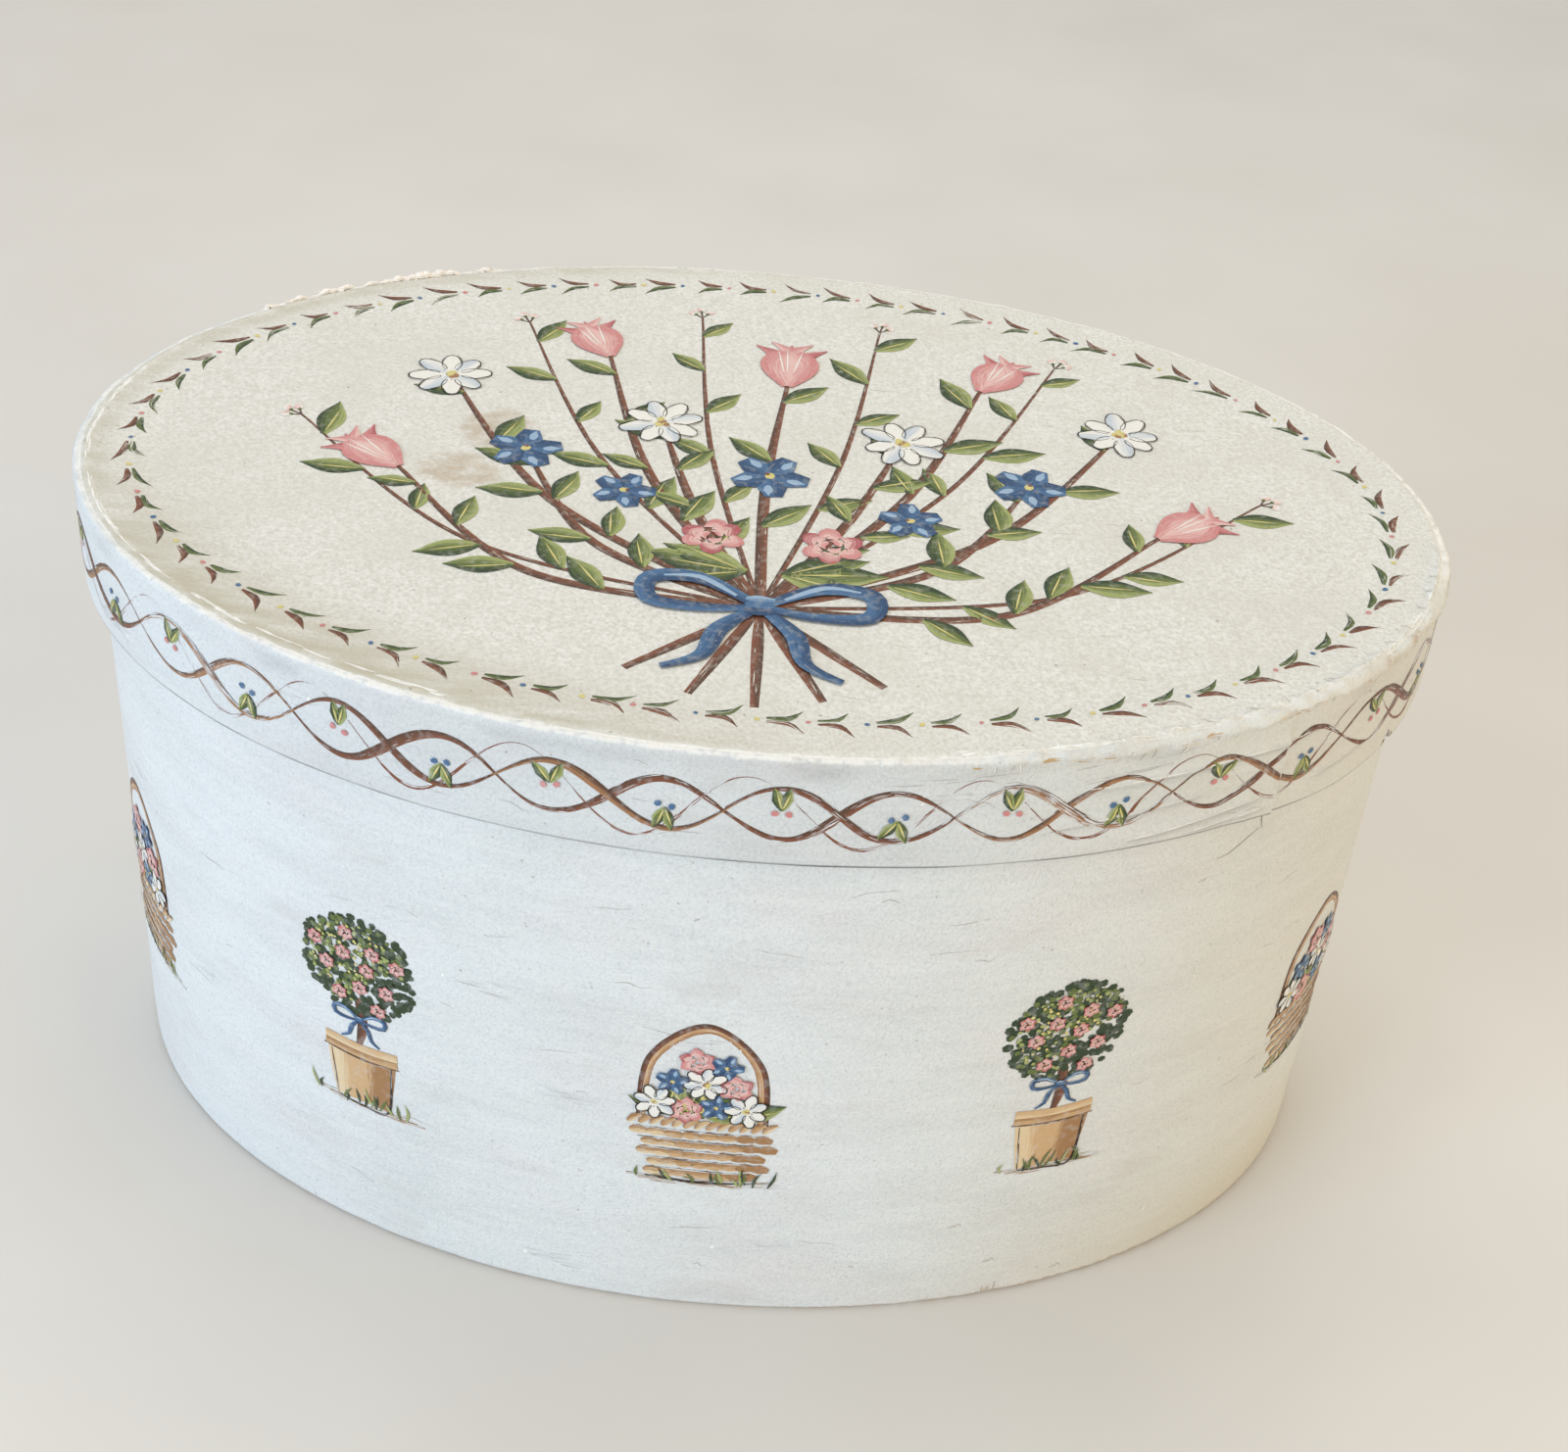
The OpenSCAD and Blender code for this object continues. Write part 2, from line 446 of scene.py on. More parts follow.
def pale_floor():
    """A matte pale studio floor with only the faintest tone."""
    material, tree = material_tree("matte_pale_floor")
    tone = patches(tree, (90.0, 90.0, 90.0), 0.30, 0.70, 2.0)
    colour = layered(tree, "#E2DED7", (("#E7E4DE", 1.0, tone),))
    coated(tree, colour, tone, depth_mm=0.01, roughness=0.9, specular=0.1)
    return material


# Length and spacing of the bristle marks
BRISTLE_RUN = 4.0
BRISTLE_PITCH = 0.22


def acrylic_brushwork(name, ground):
    """Artist's acrylic from a loaded brush: satin, streaked by the bristles, bare where the brush ran dry."""
    material, tree = material_tree(name)
    carried = {}
    for label in ("across", "along", "half_width", "seed", "dry"):
        carried[label] = node(tree, "ShaderNodeAttribute", out="Fac", attribute_name=label)
    for label in ("paint", "paint_edge"):
        carried[label] = node(tree, "ShaderNodeAttribute", out="Color", attribute_name=label)
    across = carried["across"]
    run = node(tree, "ShaderNodeMath", {0: carried["along"], 1: BRISTLE_RUN * MM}, operation="DIVIDE")
    aside = node(tree, "ShaderNodeMath", {0: across, 1: carried["half_width"]}, operation="MULTIPLY")
    aside = node(tree, "ShaderNodeMath", {0: aside, 1: BRISTLE_PITCH * MM}, operation="DIVIDE")
    hairs = node(tree, "ShaderNodeCombineXYZ", {0: run, 1: aside, 2: carried["seed"]})
    streak = node(tree, "ShaderNodeTexNoise", {"Vector": hairs, "Scale": 1.0, "Detail": 2.0})
    side = node(tree, "ShaderNodeMath", {0: across, 1: 0.5, 2: 0.5}, operation="MULTIPLY_ADD")
    wander = node(tree, "ShaderNodeMapRange", {0: streak, 1: 0.25, 2: 0.75, 3: -0.45, 4: 0.45})
    loaded = node(tree, "ShaderNodeMath", {0: side, 1: wander}, operation="ADD")
    loaded = node(tree, "ShaderNodeMapRange", {0: loaded, 1: 0.2, 2: 0.8})
    sides = {0: loaded, 6: carried["paint_edge"], 7: carried["paint"]}
    colour = node(tree, "ShaderNodeMix", sides, 2, data_type="RGBA")
    run_dry = node(tree, "ShaderNodeMath", {0: carried["dry"], 1: 0.55, 2: 0.26}, operation="MULTIPLY_ADD")
    bare = node(tree, "ShaderNodeMath", {0: streak, 1: run_dry}, operation="LESS_THAN")
    colour = layered(tree, colour, (
        (ground, 0.3, patches(tree, (1.3, 1.3, 1.3), 0.5, 0.8, 2.0)),
        (ground, bare),
    ))
    coated(tree, colour, streak, depth_mm=0.05, roughness=0.45, specular=0.35)
    return material


WHITE_PAINT = brushed_white_paint()
CREAM_PAPER = mottled_cream_paper()
LINING_PAPER = plain_lining_paper()
PASTEBOARD = raw_pasteboard()
TAPE = gummed_tape()
TORN_PAPER = torn_paper()
PAINT_ON_CREAM = acrylic_brushwork("brushed_acrylic_on_cream", "#DAD7CC")
PAINT_ON_WHITE = acrylic_brushwork("brushed_acrylic_on_white", "#DCDFE0")


# How the hand-made shapes stray from true

# In these values a ramp or a fade is where it begins and where it ends, and a ripple a height and a grain

# The pasted wall: how far it stands out, its waves and its ripples
WALL_OUT = 0.12
WALL_WAVES, WALL_RIPPLES = (0.22, 34.0), (0.07, 9.0)


def wall_swell(x, y, z):
    """The pasted wall's slow unevenness, mostly outwards."""
    return WALL_OUT + ripple(WALL_WAVES, x, y, z) + ripple(WALL_RIPPLES, x, y, z)


# Degrees round the lid where its edge is pinched, how early that begins, and how softly it begins and ends
PINCHED = (-74.0, -2.0)
PINCH_LEAD, PINCH_SOFT = 8.0, 14.0

# Degrees round the lid where the paper of its edge has torn
TORN = (119.0, 146.0)

# Pleats in the paper turned over the lid's edge: how many, and the ranges of angle, half width and height
PLEAT_KINDS = ((70, (-180.0, 180.0), (0.8, 2.4), (0.03, 0.12)),
               (30, PINCHED, (0.7, 1.8), (0.1, 0.4)))
PLEATS = []
for count, *ranges in PLEAT_KINDS:
    for k in range(count):
        PLEATS.append([random.uniform(*limits) for limits in ranges])

# The turned-over paper: how far in it is uneven, and the most that its pleats add up to
TURNED_REACH = 5.0
PLEATS_MOST, PLEATS_FADE, PLEAT_RIPPLE = 0.45, (0.6, 4.2), (0.06, 3.0)

# The broken ridge along the edge: its inset, half width, height and how much higher it is where pinched
CREST_INSET, CREST_STRAY, CREST_WIDTH = 1.5, (0.8, 11.0), 0.62
CREST_HEIGHT, CREST_PINCHED = 0.12, 0.6
CREST_GRAIN, CREST_RAMP = 3.6, (-0.3, 0.4)

# Crinkles of the pinched edge, which lie closer across it than along it
CRINKLE, CRINKLE_GRAIN, CRINKLE_CLOSER = 0.2, 2.2, 2.5
CRINKLE_FADE = (2.0, TURNED_REACH)


def pinched(angle):
    """How far the lid's edge is out of shape at an angle, from 0 to 1."""
    at = angle_gap(angle, 0.0)
    start, end = PINCHED
    return smooth_step(start - PINCH_LEAD, start + PINCH_SOFT, at) * fade_out(end - PINCH_SOFT, end, at)


def rim_lump(angle, depth):
    """Height of pleats, crinkles and broken ridge in the turned-over paper, at a depth from the edge."""
    if depth > TURNED_REACH:
        return 0.0
    speed = oval_speed(LID_HALF, angle)
    lump = 0.0
    for at, width, height in PLEATS:
        away = angle_gap(angle, at) * speed
        if abs(away) < HUMP_END * width:
            lump += height * hump(away, width)
    x, y = oval_point(LID_HALF, angle)
    lump = min(lump, PLEATS_MOST) + ripple(PLEAT_RIPPLE, x, y, depth)
    lump *= fade_out(*PLEATS_FADE, depth)
    rough = CREST_HEIGHT + CREST_PINCHED * pinched(angle)
    ridge = rough * smooth_step(*CREST_RAMP, uneven(CREST_GRAIN, x, y, 20.0))
    crinkle = CRINKLE * pinched(angle) * uneven(CRINKLE_GRAIN, x, y, CRINKLE_CLOSER * depth)
    crinkle *= fade_out(*CRINKLE_FADE, depth)
    from_crest = depth - CREST_INSET - ripple(CREST_STRAY, x, y, 40.0)
    return lump + crinkle + ridge * hump(from_crest, CREST_WIDTH)


# The band's lower edge: where it sags, how far and over what degrees; the torn notch beside that; its waver
SAG_ANGLE, SAG, SAG_SPREAD = -34.0, 1.0, 9.0
NOTCH_ANGLE, NOTCH_DEPTH, NOTCH_WIDTH = -24.2, 2.4, 1.0
EDGE_WAVER = (0.2, 17.0)


def lid_low_edge(angle):
    """Height of the band's lower edge, which wavers, sags at the front right and is torn beside that."""
    sag = SAG * hump(angle_gap(angle, SAG_ANGLE), SAG_SPREAD)
    past_notch = angle_gap(angle, NOTCH_ANGLE) * oval_speed(LID_HALF, NOTCH_ANGLE)
    notch = NOTCH_DEPTH * hump(past_notch, NOTCH_WIDTH)
    return LID_LOW.z - sag + notch + ripple(EDGE_WAVER, *oval_point(LID_HALF, angle), 0.0)


# Long folds in the band's paper by its lap: angle and height above the lower edge where each starts and ends,
# how far it stands out and half its width; and the shares of its run over which it rises and dies away
BAND_FOLDS = (((-60.0, 1.9), (-43.6, 4.9), 0.60, 0.6), ((-54.0, 1.0), (-43.4, 2.6), 0.45, 0.5),
              ((-67.0, 6.2), (-50.0, 8.6), 0.35, 0.8), ((-66.0, 13.0), (-36.0, 14.4), 0.45, 0.7),
              ((-40.0, 4.0), (-27.0, 6.5), 0.40, 0.7))
FOLD_RAMP, FOLD_FADE = (0.0, 0.3), (0.75, 1.0)


def band_fold(angle, height):
    """How far the long folds stand out at a place on the band."""
    out = 0.0
    for (start, low), (end, high), rise, half_wide in BAND_FOLDS:
        share = angle_gap(angle, start) / (end - start)
        fade = smooth_step(*FOLD_RAMP, share) * fade_out(*FOLD_FADE, share)
        out += rise * fade * hump(height - LID_LOW.z - low - (high - low) * share, half_wide)
    return out


# Slack in the band's paper: how far it stands out, and its waves; how far and how high up it gapes; the
# creases at its pinched end; and the furthest in that it goes
BAND_OUT, BAND_WAVES = 0.10, (0.16, 15.0)
BAND_GAPE, GAPE_GRAIN, GAPE_REACH = 0.35, 19.0, 9.0
BAND_CREASE, CREASE_GRAIN = 0.3, 6.0
BAND_IN_MOST = 0.1


def band_wave(angle, height):
    """Slack in the band's paper, most of it by the lower edge and at the pinched end."""
    x, y = oval_point(LID_HALF, angle)
    low = fade_out(LID_LOW.z, LID_LOW.z + GAPE_REACH, height)
    slack = BAND_OUT + ripple(BAND_WAVES, x, y, height)
    slack += BAND_GAPE * low * max(0.0, uneven(GAPE_GRAIN, x, y, 7.0))
    crease = BAND_CREASE * pinched(angle) * uneven(CREASE_GRAIN, x * 0.5, y * 0.5, height * 2.0)
    return max(slack + crease + band_fold(angle, height), -BAND_IN_MOST)


# How much more than one paper a lap's free edge stands off, and how far from the lap's middle that begins
LAP_CURL, CURL_FROM = 0.2, 1.0


def lap_lift(half, angle, lap_angle):
    """How far the lapped end of an outer paper stands off: one paper, a little more at its free edge."""
    half_lap = LAP_WIDTH / 2.0
    away = angle_gap(angle, lap_angle) * oval_speed(half, lap_angle)
    if abs(away) > half_lap:
        return 0.0
    return PAPER * smooth_step(-half_lap, 0.0, away) + LAP_CURL * smooth_step(CURL_FROM, half_lap, away)


def lap_end(half, lap_angle):
    """The angle at which the free edge of a lap lies."""
    return lap_angle + LAP_WIDTH / 2.0 / oval_speed(half, lap_angle)


# The body's papers

# A knock in the lower edge: its angle, half width, height and depth
DENT_ANGLE, DENT_WIDTH, DENT_HEIGHT, DENT_DEPTH = -62.0, 1.5, 2.2, 0.22

# The rub along the lower edge: the degrees where it is most, how far up it fades and ends, and how much
# further up where it is most
FOOT_RUB_ANGLE, FOOT_RUB_SPREAD = -48.0, 26.0
FOOT_RUB_FADE, FOOT_RUB_END, FOOT_RUB_MORE = 0.3, 0.9, 0.5

# The wall: the ripple of its rounded foot, and its swell, which is full this far up from the foot, and
# fades and ends this far below the rim
FOOT_RIPPLE = (0.25, 7.0)
SWELL_FULL, SWELL_FADE, SWELL_END = 6.0, 24.0, 12.0

# Rows that are closer together just above the foot, and where the lid's lower edge crosses the side
FOOT_ROWS = (0.3, 0.6, 1.0)
LID_EDGE_ROWS = (-2.0, -1.2, -0.4, 0.4, 1.2)

# How far the inner edge of the rim's fold is rounded off
FOLD_ROUND = 0.3


def foot_dent(angle, height):
    """The knock in the lower edge at the front, from 0 to 1."""
    away = angle_gap(angle, DENT_ANGLE) * oval_speed(BODY_HALF, angle)
    return hump(away, DENT_WIDTH) * hump(height - SIDE_LOW.z, DENT_HEIGHT)


def side_section(angle):
    """The side's paper: its tabs under the base, its swelling outside, and the fold over the rim."""
    low, rim = SIDE_LOW.z, SIDE_HIGH.z
    fold_in, fold_low = WALL_INSET + PAPER, rim - RIM_FOLD
    x, y = oval_point(BODY_HALF, angle)
    lap = lap_lift(BODY_HALF, angle, SIDE_LAP_ANGLE)
    soft = EDGE_ROUND + ripple(FOOT_RIPPLE, x, y, 3.0)
    low_side, high_side = low + soft, rim - EDGE_ROUND
    outer = round_corner(soft, low_side, soft, -90.0, 0.0)
    heights = [low_side + (high_side - low_side) * k / SIDE_ROWS for k in range(1, SIDE_ROWS)]
    heights += [low_side + up for up in FOOT_ROWS]
    heights += [LID_LOW.z + up for up in LID_EDGE_ROWS]
    outer += [(0.0, height) for height in sorted(heights)]
    outer += round_corner(EDGE_ROUND, high_side, EDGE_ROUND, 0.0, 90.0)
    section = [(TAB_REACH, low)]
    for inset, height in outer:
        free = smooth_step(low, low + SWELL_FULL, height)
        free *= fade_out(rim - SWELL_FADE, rim - SWELL_END, height)
        out = lap + wall_swell(x, y, height) * free - DENT_DEPTH * foot_dent(angle, height)
        section.append((inset - out, height))
    section += [(fold_in - FOLD_ROUND, rim), (fold_in, rim - FOLD_ROUND), (fold_in, fold_low)]
    section += [(WALL_INSET, fold_low), (WALL_INSET, rim - PAPER), (PAPER, rim - PAPER)]
    section += [(PAPER, low + PAPER), (TAB_REACH, low + PAPER)]
    return section


def foot_wear(x, y, z):
    """Brown board in the knock, and a thin rub along the lower edge, most of it at the front right."""
    angle = oval_angle(BODY_HALF, x, y)
    most = hump(angle_gap(angle, FOOT_RUB_ANGLE), FOOT_RUB_SPREAD)
    rub_end = SIDE_LOW.z + FOOT_RUB_END + FOOT_RUB_MORE * most
    rub = (0.35 + 0.45 * most) * fade_out(SIDE_LOW.z + FOOT_RUB_FADE, rub_end, z)
    return max(rub, 0.85 * smooth_step(0.35, 0.8, foot_dent(angle, z)))


# The yellowing and painted warm light: where along X the right end's grows, and how far up from the foot
# there is more of it
RIGHT_RAMP = (20.0, 110.0)
FOOT_TONE_REACH = 26.0


def right_end(x):
    """How near a place is to the right end, from 0 to 1."""
    return smooth_step(*RIGHT_RAMP, x)


def side_tone(x, y, z):
    """Yellowing and painted warm light at the right end, more of it by the lower edge there."""
    low = fade_out(SIDE_LOW.z, SIDE_LOW.z + FOOT_TONE_REACH, z)
    return 0.32 * right_end(x) + (0.03 + 0.34 * right_end(x)) * low


# The painted shadow that the lid's lower edge casts on the side: how far below the edge it lies, half its
# width, and its grain
LID_SHADOW_DROP, LID_SHADOW_WIDTH, LID_SHADOW_GRAIN = 0.4, 1.3, 14.0


def lid_edge_painted_shadow(x, y, z):
    """A soft line of painted shadow on the side, just below the lid's lower edge."""
    shadow_shape = hump(z - LID_LOW.z + LID_SHADOW_DROP, LID_SHADOW_WIDTH)
    return 0.16 * shadow_shape * (0.7 + uneven(LID_SHADOW_GRAIN, x, y, 1.0))


# How far out and in from the end of the tabs the base sheet's step reaches
BASE_STEP_OUT, BASE_STEP_IN = 1.0, 2.0


def base_sheet_top(x, y, inset, angle):
    """The base sheet lies over the tabs and steps up to the board inside them."""
    step = BASE_HIGH.z - BASE_LOW.z - PAPER
    return BASE_LOW.z + PAPER + step * smooth_step(TAB_REACH - BASE_STEP_OUT, TAB_REACH + BASE_STEP_IN, inset)


# The linings: the ripples of their cut edges, how they swell, and how far up the wall's swell is full
SIDE_CUT, BAND_CUT = (0.35, 15.0), (0.3, 15.0)
SIDE_LINING_SWELL, SIDE_LINING_GRAIN, SIDE_LINING_FULL = 0.12, 22.0, 8.0
FLOOR_LINING_SWELL, FLOOR_LINING_GRAIN = 0.1, 18.0

# Where the wall's lining steps over the rim's fold: how far below and above the fold's edge, and how loosely
LINING_STEP_LOW, LINING_STEP_HIGH, LINING_SLACK = 0.4, 1.2, 0.1


def side_liner_section(angle):
    """The wall's lining, swelling a little, with its unevenly cut edge lapped over the rim's fold."""
    low, lap_low = SIDE_LINER_LOW.z, SIDE_HIGH.z - RIM_FOLD
    lapped = WALL_INSET + PAPER
    x, y = oval_point(BODY_HALF, angle)
    edge = SIDE_LINER_HIGH.z + ripple(SIDE_CUT, x, y, 0.0)
    inner = []
    for k in range(LINING_ROWS + 1):
        height = low + (lap_low - low) * k / LINING_ROWS
        swell = SIDE_LINING_SWELL * (1.0 + uneven(SIDE_LINING_GRAIN, x, y, height))
        swell *= smooth_step(low, low + SIDE_LINING_FULL, height)
        inner.append((WALL_INSET + LINING + swell, height))
    loose = lapped + LINING + LINING_SLACK
    inner += [(loose, lap_low + LINING_STEP_HIGH), (loose, edge)]
    outer = [(WALL_INSET, low), (WALL_INSET, lap_low - LINING_STEP_LOW), (lapped, lap_low), (lapped, edge)]
    return outer + inner[::-1]


def floor_liner_top(x, y, inset, angle):
    """The floor's lining, never quite flat."""
    return FLOOR_LINER_HIGH.z + FLOOR_LINING_SWELL * (1.0 + uneven(FLOOR_LINING_GRAIN, x, y, 4.0))


# Its right end's tone is partly painted warm light, and the soft line below the lid's edge is a painted
# shadow
side_paper = new_piece(
    "side_paper",
    sweep_round_oval(BODY_HALF, stations(SIDE_STATIONS, lap_end(BODY_HALF, SIDE_LAP_ANGLE)), side_section),
    WHITE_PAINT, "box", "painted_paper", "side_wrap", wear=foot_wear, toned=side_tone, grime=lid_edge_painted_shadow)
new_piece(
    "base_sheet", oval_sheet(BODY_HALF, BASE_MARGIN, BASE_RINGS, LINING_STATIONS, base_sheet_top, PAPER),
    LINING_PAPER, "box", "lining_paper", "base_paper")
new_piece(
    "side_lining", sweep_round_oval(BODY_HALF, stations(LINING_STATIONS), side_liner_section),
    LINING_PAPER, "box", "lining_paper", "side_liner")
new_piece(
    "floor_lining",
    oval_sheet(BODY_HALF, FLOOR_LINER_INSET, FLOOR_RINGS, LINING_STATIONS, floor_liner_top, LINING),
    LINING_PAPER, "box", "lining_paper", "floor_liner")


# The lid's papers

# The band: the roundness of its folded lower edge, the heights above that over which its slack begins,
# how much of the edge's lumps its side shows, and how far further down
BAND_FOOT = 0.25
SLACK_RAMP = (-0.5, 2.0)
LUMP_SHARE, LUMP_DROP = 0.8, 0.6

# Insets of the rows on the turned-over paper, and how far under the top sheet it stays
TURNED_ROWS = (1.2, 1.7, 2.4, 3.4, TAB_REACH)
TURNED_DROP = 0.05

# Darkening of the band: the height of the dark line on its lower edge and where along X it grows faint,
# where the grey below the rim and the film of painted shade lie, and how far below a fold its painted shade
# is
DARK_LINE_HEIGHT, FAINT_RAMP = 0.4, (80.0, 110.0)
UNDER_RIM_DROP, UNDER_RIM_WIDTH, UNDER_RIM_GRAIN = 2.4, 1.5, 12.0
SHADE_FILM_ANGLE, SHADE_FILM_SPREAD = -95.0, 45.0
FOLD_SHADE_DROP = 1.0

# Shares of the oval over which the band's outside begins
OUTSIDE_RAMP = (0.985, 0.992)

# The rubbed edge of the lid: how far down it lies, how the bared board fades from there, and the softness
# and waver of the white line, partly rubbed and partly a painted highlight, which grows thinner towards the
# left
RUB_DROP = 0.3
BARED_FADE, BARED_GRAIN = (0.3, 1.3), 4.5
WHITE_LINE_SOFT, WHITE_LINE_WAVER = 0.15, (0.2, 3.0)
THINNER, THINNER_RAMP = 0.28, (40.0, 100.0)

# How far down the pinched edge the lid's cream is carried, and where it is full
CREAM_REACH, CREAM_FULL = 6.0, 0.5


def lid_band_section(angle):
    """The band's paper: the fold up inside, the slack outside, and the tabs turned over the lid's edge."""
    top, low = LID_HIGH.z, lid_low_edge(angle)
    fold_top = LID_LOW.z + LID_FOLD
    flap_in = BAND_INSET + PAPER
    lap = lap_lift(LID_HALF, angle, LID_LAP_ANGLE)
    side_low, side_high = low + BAND_FOOT, top - EDGE_ROUND
    outer = round_corner(BAND_FOOT, side_low, BAND_FOOT, -90.0, 0.0, 3)
    outer += [(0.0, low + DARK_LINE_HEIGHT), (0.0, low + 1.5 * DARK_LINE_HEIGHT)]
    outer += [(0.0, side_low + (side_high - side_low) * k / BAND_ROWS) for k in range(1, BAND_ROWS)]
    outer += round_corner(EDGE_ROUND, side_high, EDGE_ROUND, 0.0, 90.0, 6)
    section = [(flap_in, fold_top)]
    section += round_corner(flap_in - BAND_FOOT, low + BAND_FOOT, BAND_FOOT, 180.0, 270.0, 2)
    for inset, height in outer:
        down = top - height
        out = lap + LUMP_SHARE * rim_lump(angle, down + LUMP_DROP)
        out += band_wave(angle, height) * smooth_step(*SLACK_RAMP, height - low)
        up = rim_lump(angle, inset) * fade_out(0.0, EDGE_ROUND, down)
        section.append((inset - out, height + up))
    for inset in TURNED_ROWS:
        section.append((inset, top + rim_lump(angle, inset) - TURNED_DROP))
    section += [(TAB_REACH, top - PAPER), (PAPER, top - PAPER), (PAPER, low + PAPER)]
    section += [(BAND_INSET, low + PAPER), (BAND_INSET, fold_top)]
    return section


def pinched_at(x, y):
    """How far the lid's edge is out of shape by a place, from 0 to 1."""
    return pinched(oval_angle(LID_HALF, x, y))


def rim_wear(x, y, z):
    """Where handling has rubbed the lid's edge down to the board, most of it at the front right."""
    near_edge = fade_out(*BARED_FADE, abs(LID_HIGH.z - RUB_DROP - z))
    rubbed = smooth_step(0.15, 0.4, uneven(BARED_GRAIN, x, y, 9.0))
    return near_edge * rubbed * (0.08 + 0.46 * pinched_at(x, y))


def band_shade_and_dark_line(x, y, z):
    """Darkening of the band: a thin dark line on its lower edge, grey just below the rim,
    painted shade below the folds, and a film of painted shade, most of it at the front.
    """
    angle = oval_angle(LID_HALF, x, y)
    near_edge = fade_out(0.65 * DARK_LINE_HEIGHT, 1.4 * DARK_LINE_HEIGHT, z - lid_low_edge(angle))
    outside = smooth_step(*OUTSIDE_RAMP, oval_share(LID_HALF, x, y))
    faint = 1.0 - 0.4 * smooth_step(*FAINT_RAMP, x)
    dark_line = near_edge * outside * faint * (0.68 + 0.42 * uneven(8.0, x, y, 3.0))
    under_rim_grey = 0.14 * hump(z - LID_HIGH.z + UNDER_RIM_DROP, UNDER_RIM_WIDTH)
    under_rim_grey *= smooth_step(-0.1, 0.5, uneven(UNDER_RIM_GRAIN, x, y, z))
    shade_film = (0.05 + 0.05 * hump(angle - SHADE_FILM_ANGLE, SHADE_FILM_SPREAD)) * (1.0 - 0.7 * right_end(x))
    fold_shade = 0.35 * outside * band_fold(angle, z + FOLD_SHADE_DROP)
    return max(dark_line, under_rim_grey + shade_film + fold_shade)


def band_tone(x, y, z):
    """Yellowing and painted warm light at the band's right end, and a little of the lid's cream carried over
    its pinched edge.
    """
    rim = pinched_at(x, y) * smooth_step(LID_HIGH.z - CREAM_REACH, LID_HIGH.z - CREAM_FULL, z)
    return max(0.24 * rim, 0.42 * right_end(x))


def rim_rub_and_highlight(x, y, z):
    """The lid's edge as a bright white line, partly rubbed white and partly a painted highlight, but for its
    pinched end.
    """
    low = LID_HIGH.z - RUB_DROP + ripple(WHITE_LINE_WAVER, x, y, 5.0) + THINNER * smooth_step(*THINNER_RAMP, -x)
    return smooth_step(low - WHITE_LINE_SOFT, low + WHITE_LINE_SOFT, z) * (1.0 - 0.9 * pinched_at(x, y))


def band_board_section(angle):
    """The bare strip of the band, inside its paper."""
    low, high = lid_low_edge(angle) + PAPER, LID_HIGH.z - PAPER
    return [(BAND_INSET, high), (BAND_INSET, low), (PAPER, low), (PAPER, high)]


# Two old drips on the lid: centre x and y, half length and half width; and how dark they are
STAINS = ((-51.0, -7.0, 8.0, 6.0), (-46.5, 7.5, 6.5, 7.5))
STAIN_STRENGTH = 0.62

# How their edge fades by the share of those halves, and its ripple
STAIN_FADE, STAIN_RIPPLE = (0.72, 1.05), (0.28, 4.0)


def lid_stain(x, y, z):
    """The drips, with their uneven edges."""
    stain = 0.0
    for centre_x, centre_y, half_long, half_wide in STAINS:
        reach = math.hypot((x - centre_x) / half_long, (y - centre_y) / half_wide)
        stain = max(stain, fade_out(*STAIN_FADE, reach + ripple(STAIN_RIPPLE, x, y, 0.0)))
    return stain * STAIN_STRENGTH


# The ridge of the tabs under the top sheet: its inset, height and half width
RIDGE_INSET, RIDGE_HEIGHT, RIDGE_WIDTH = 2.4, 0.09, 0.5

# The top sheet: how far out and in from the tabs' end it sinks, its waves and ripples, and its tucked edge
SINK_OUT, SINK_IN = 2.0, 4.0
TOP_WAVES, TOP_RIPPLES = (0.06, 28.0), (0.02, 5.0)
TUCK_UNDER, TUCK_WIDTH = 0.02, 0.8

# Dents in its pinched end: their depth and grain, and the insets over which they grow and fade
TOP_DENT, TOP_DENT_GRAIN = 0.3, 8.0
TOP_DENT_RAMP, TOP_DENT_FADE = (1.5, 5.0), (7.0, 16.0)


def lid_top_height(x, y, inset, angle):
    """The top sheet: over the tabs at its edge, pasted down to the board inside them, never quite flat."""
    sunk = PAPER * smooth_step(TAB_REACH - SINK_OUT, TAB_REACH + SINK_IN, inset)
    wave = ripple(TOP_WAVES, x, y, 2.0) + ripple(TOP_RIPPLES, x, y, 2.0)
    ridge = RIDGE_HEIGHT * hump(inset - RIDGE_INSET, RIDGE_WIDTH) * (0.6 + uneven(3.0, x, y, 6.0))
    tuck = (PAPER + TUCK_UNDER) * fade_out(TOP_MARGIN, TOP_MARGIN + TUCK_WIDTH, inset)
    slack = smooth_step(*TOP_DENT_RAMP, inset) * fade_out(*TOP_DENT_FADE, inset)
    dent = TOP_DENT * pinched(angle) * slack * uneven(TOP_DENT_GRAIN, x, y, 12.0)
    return TOP_SHEET_HIGH.z - sunk + wave + ridge + dent - tuck + rim_lump(angle, inset)


# Rubbing of the ridge: half its width, and where it grows to the left; of the cut edge's white, partly a
# painted highlight: its width and ripple
RIDGE_RUB_WIDTH, RIDGE_RUB_RAMP = 0.55, (50.0, 100.0)
CUT_EDGE_WHITE_WIDTH, CUT_EDGE_WHITE_RIPPLE = 0.4, (0.4, 4.0)


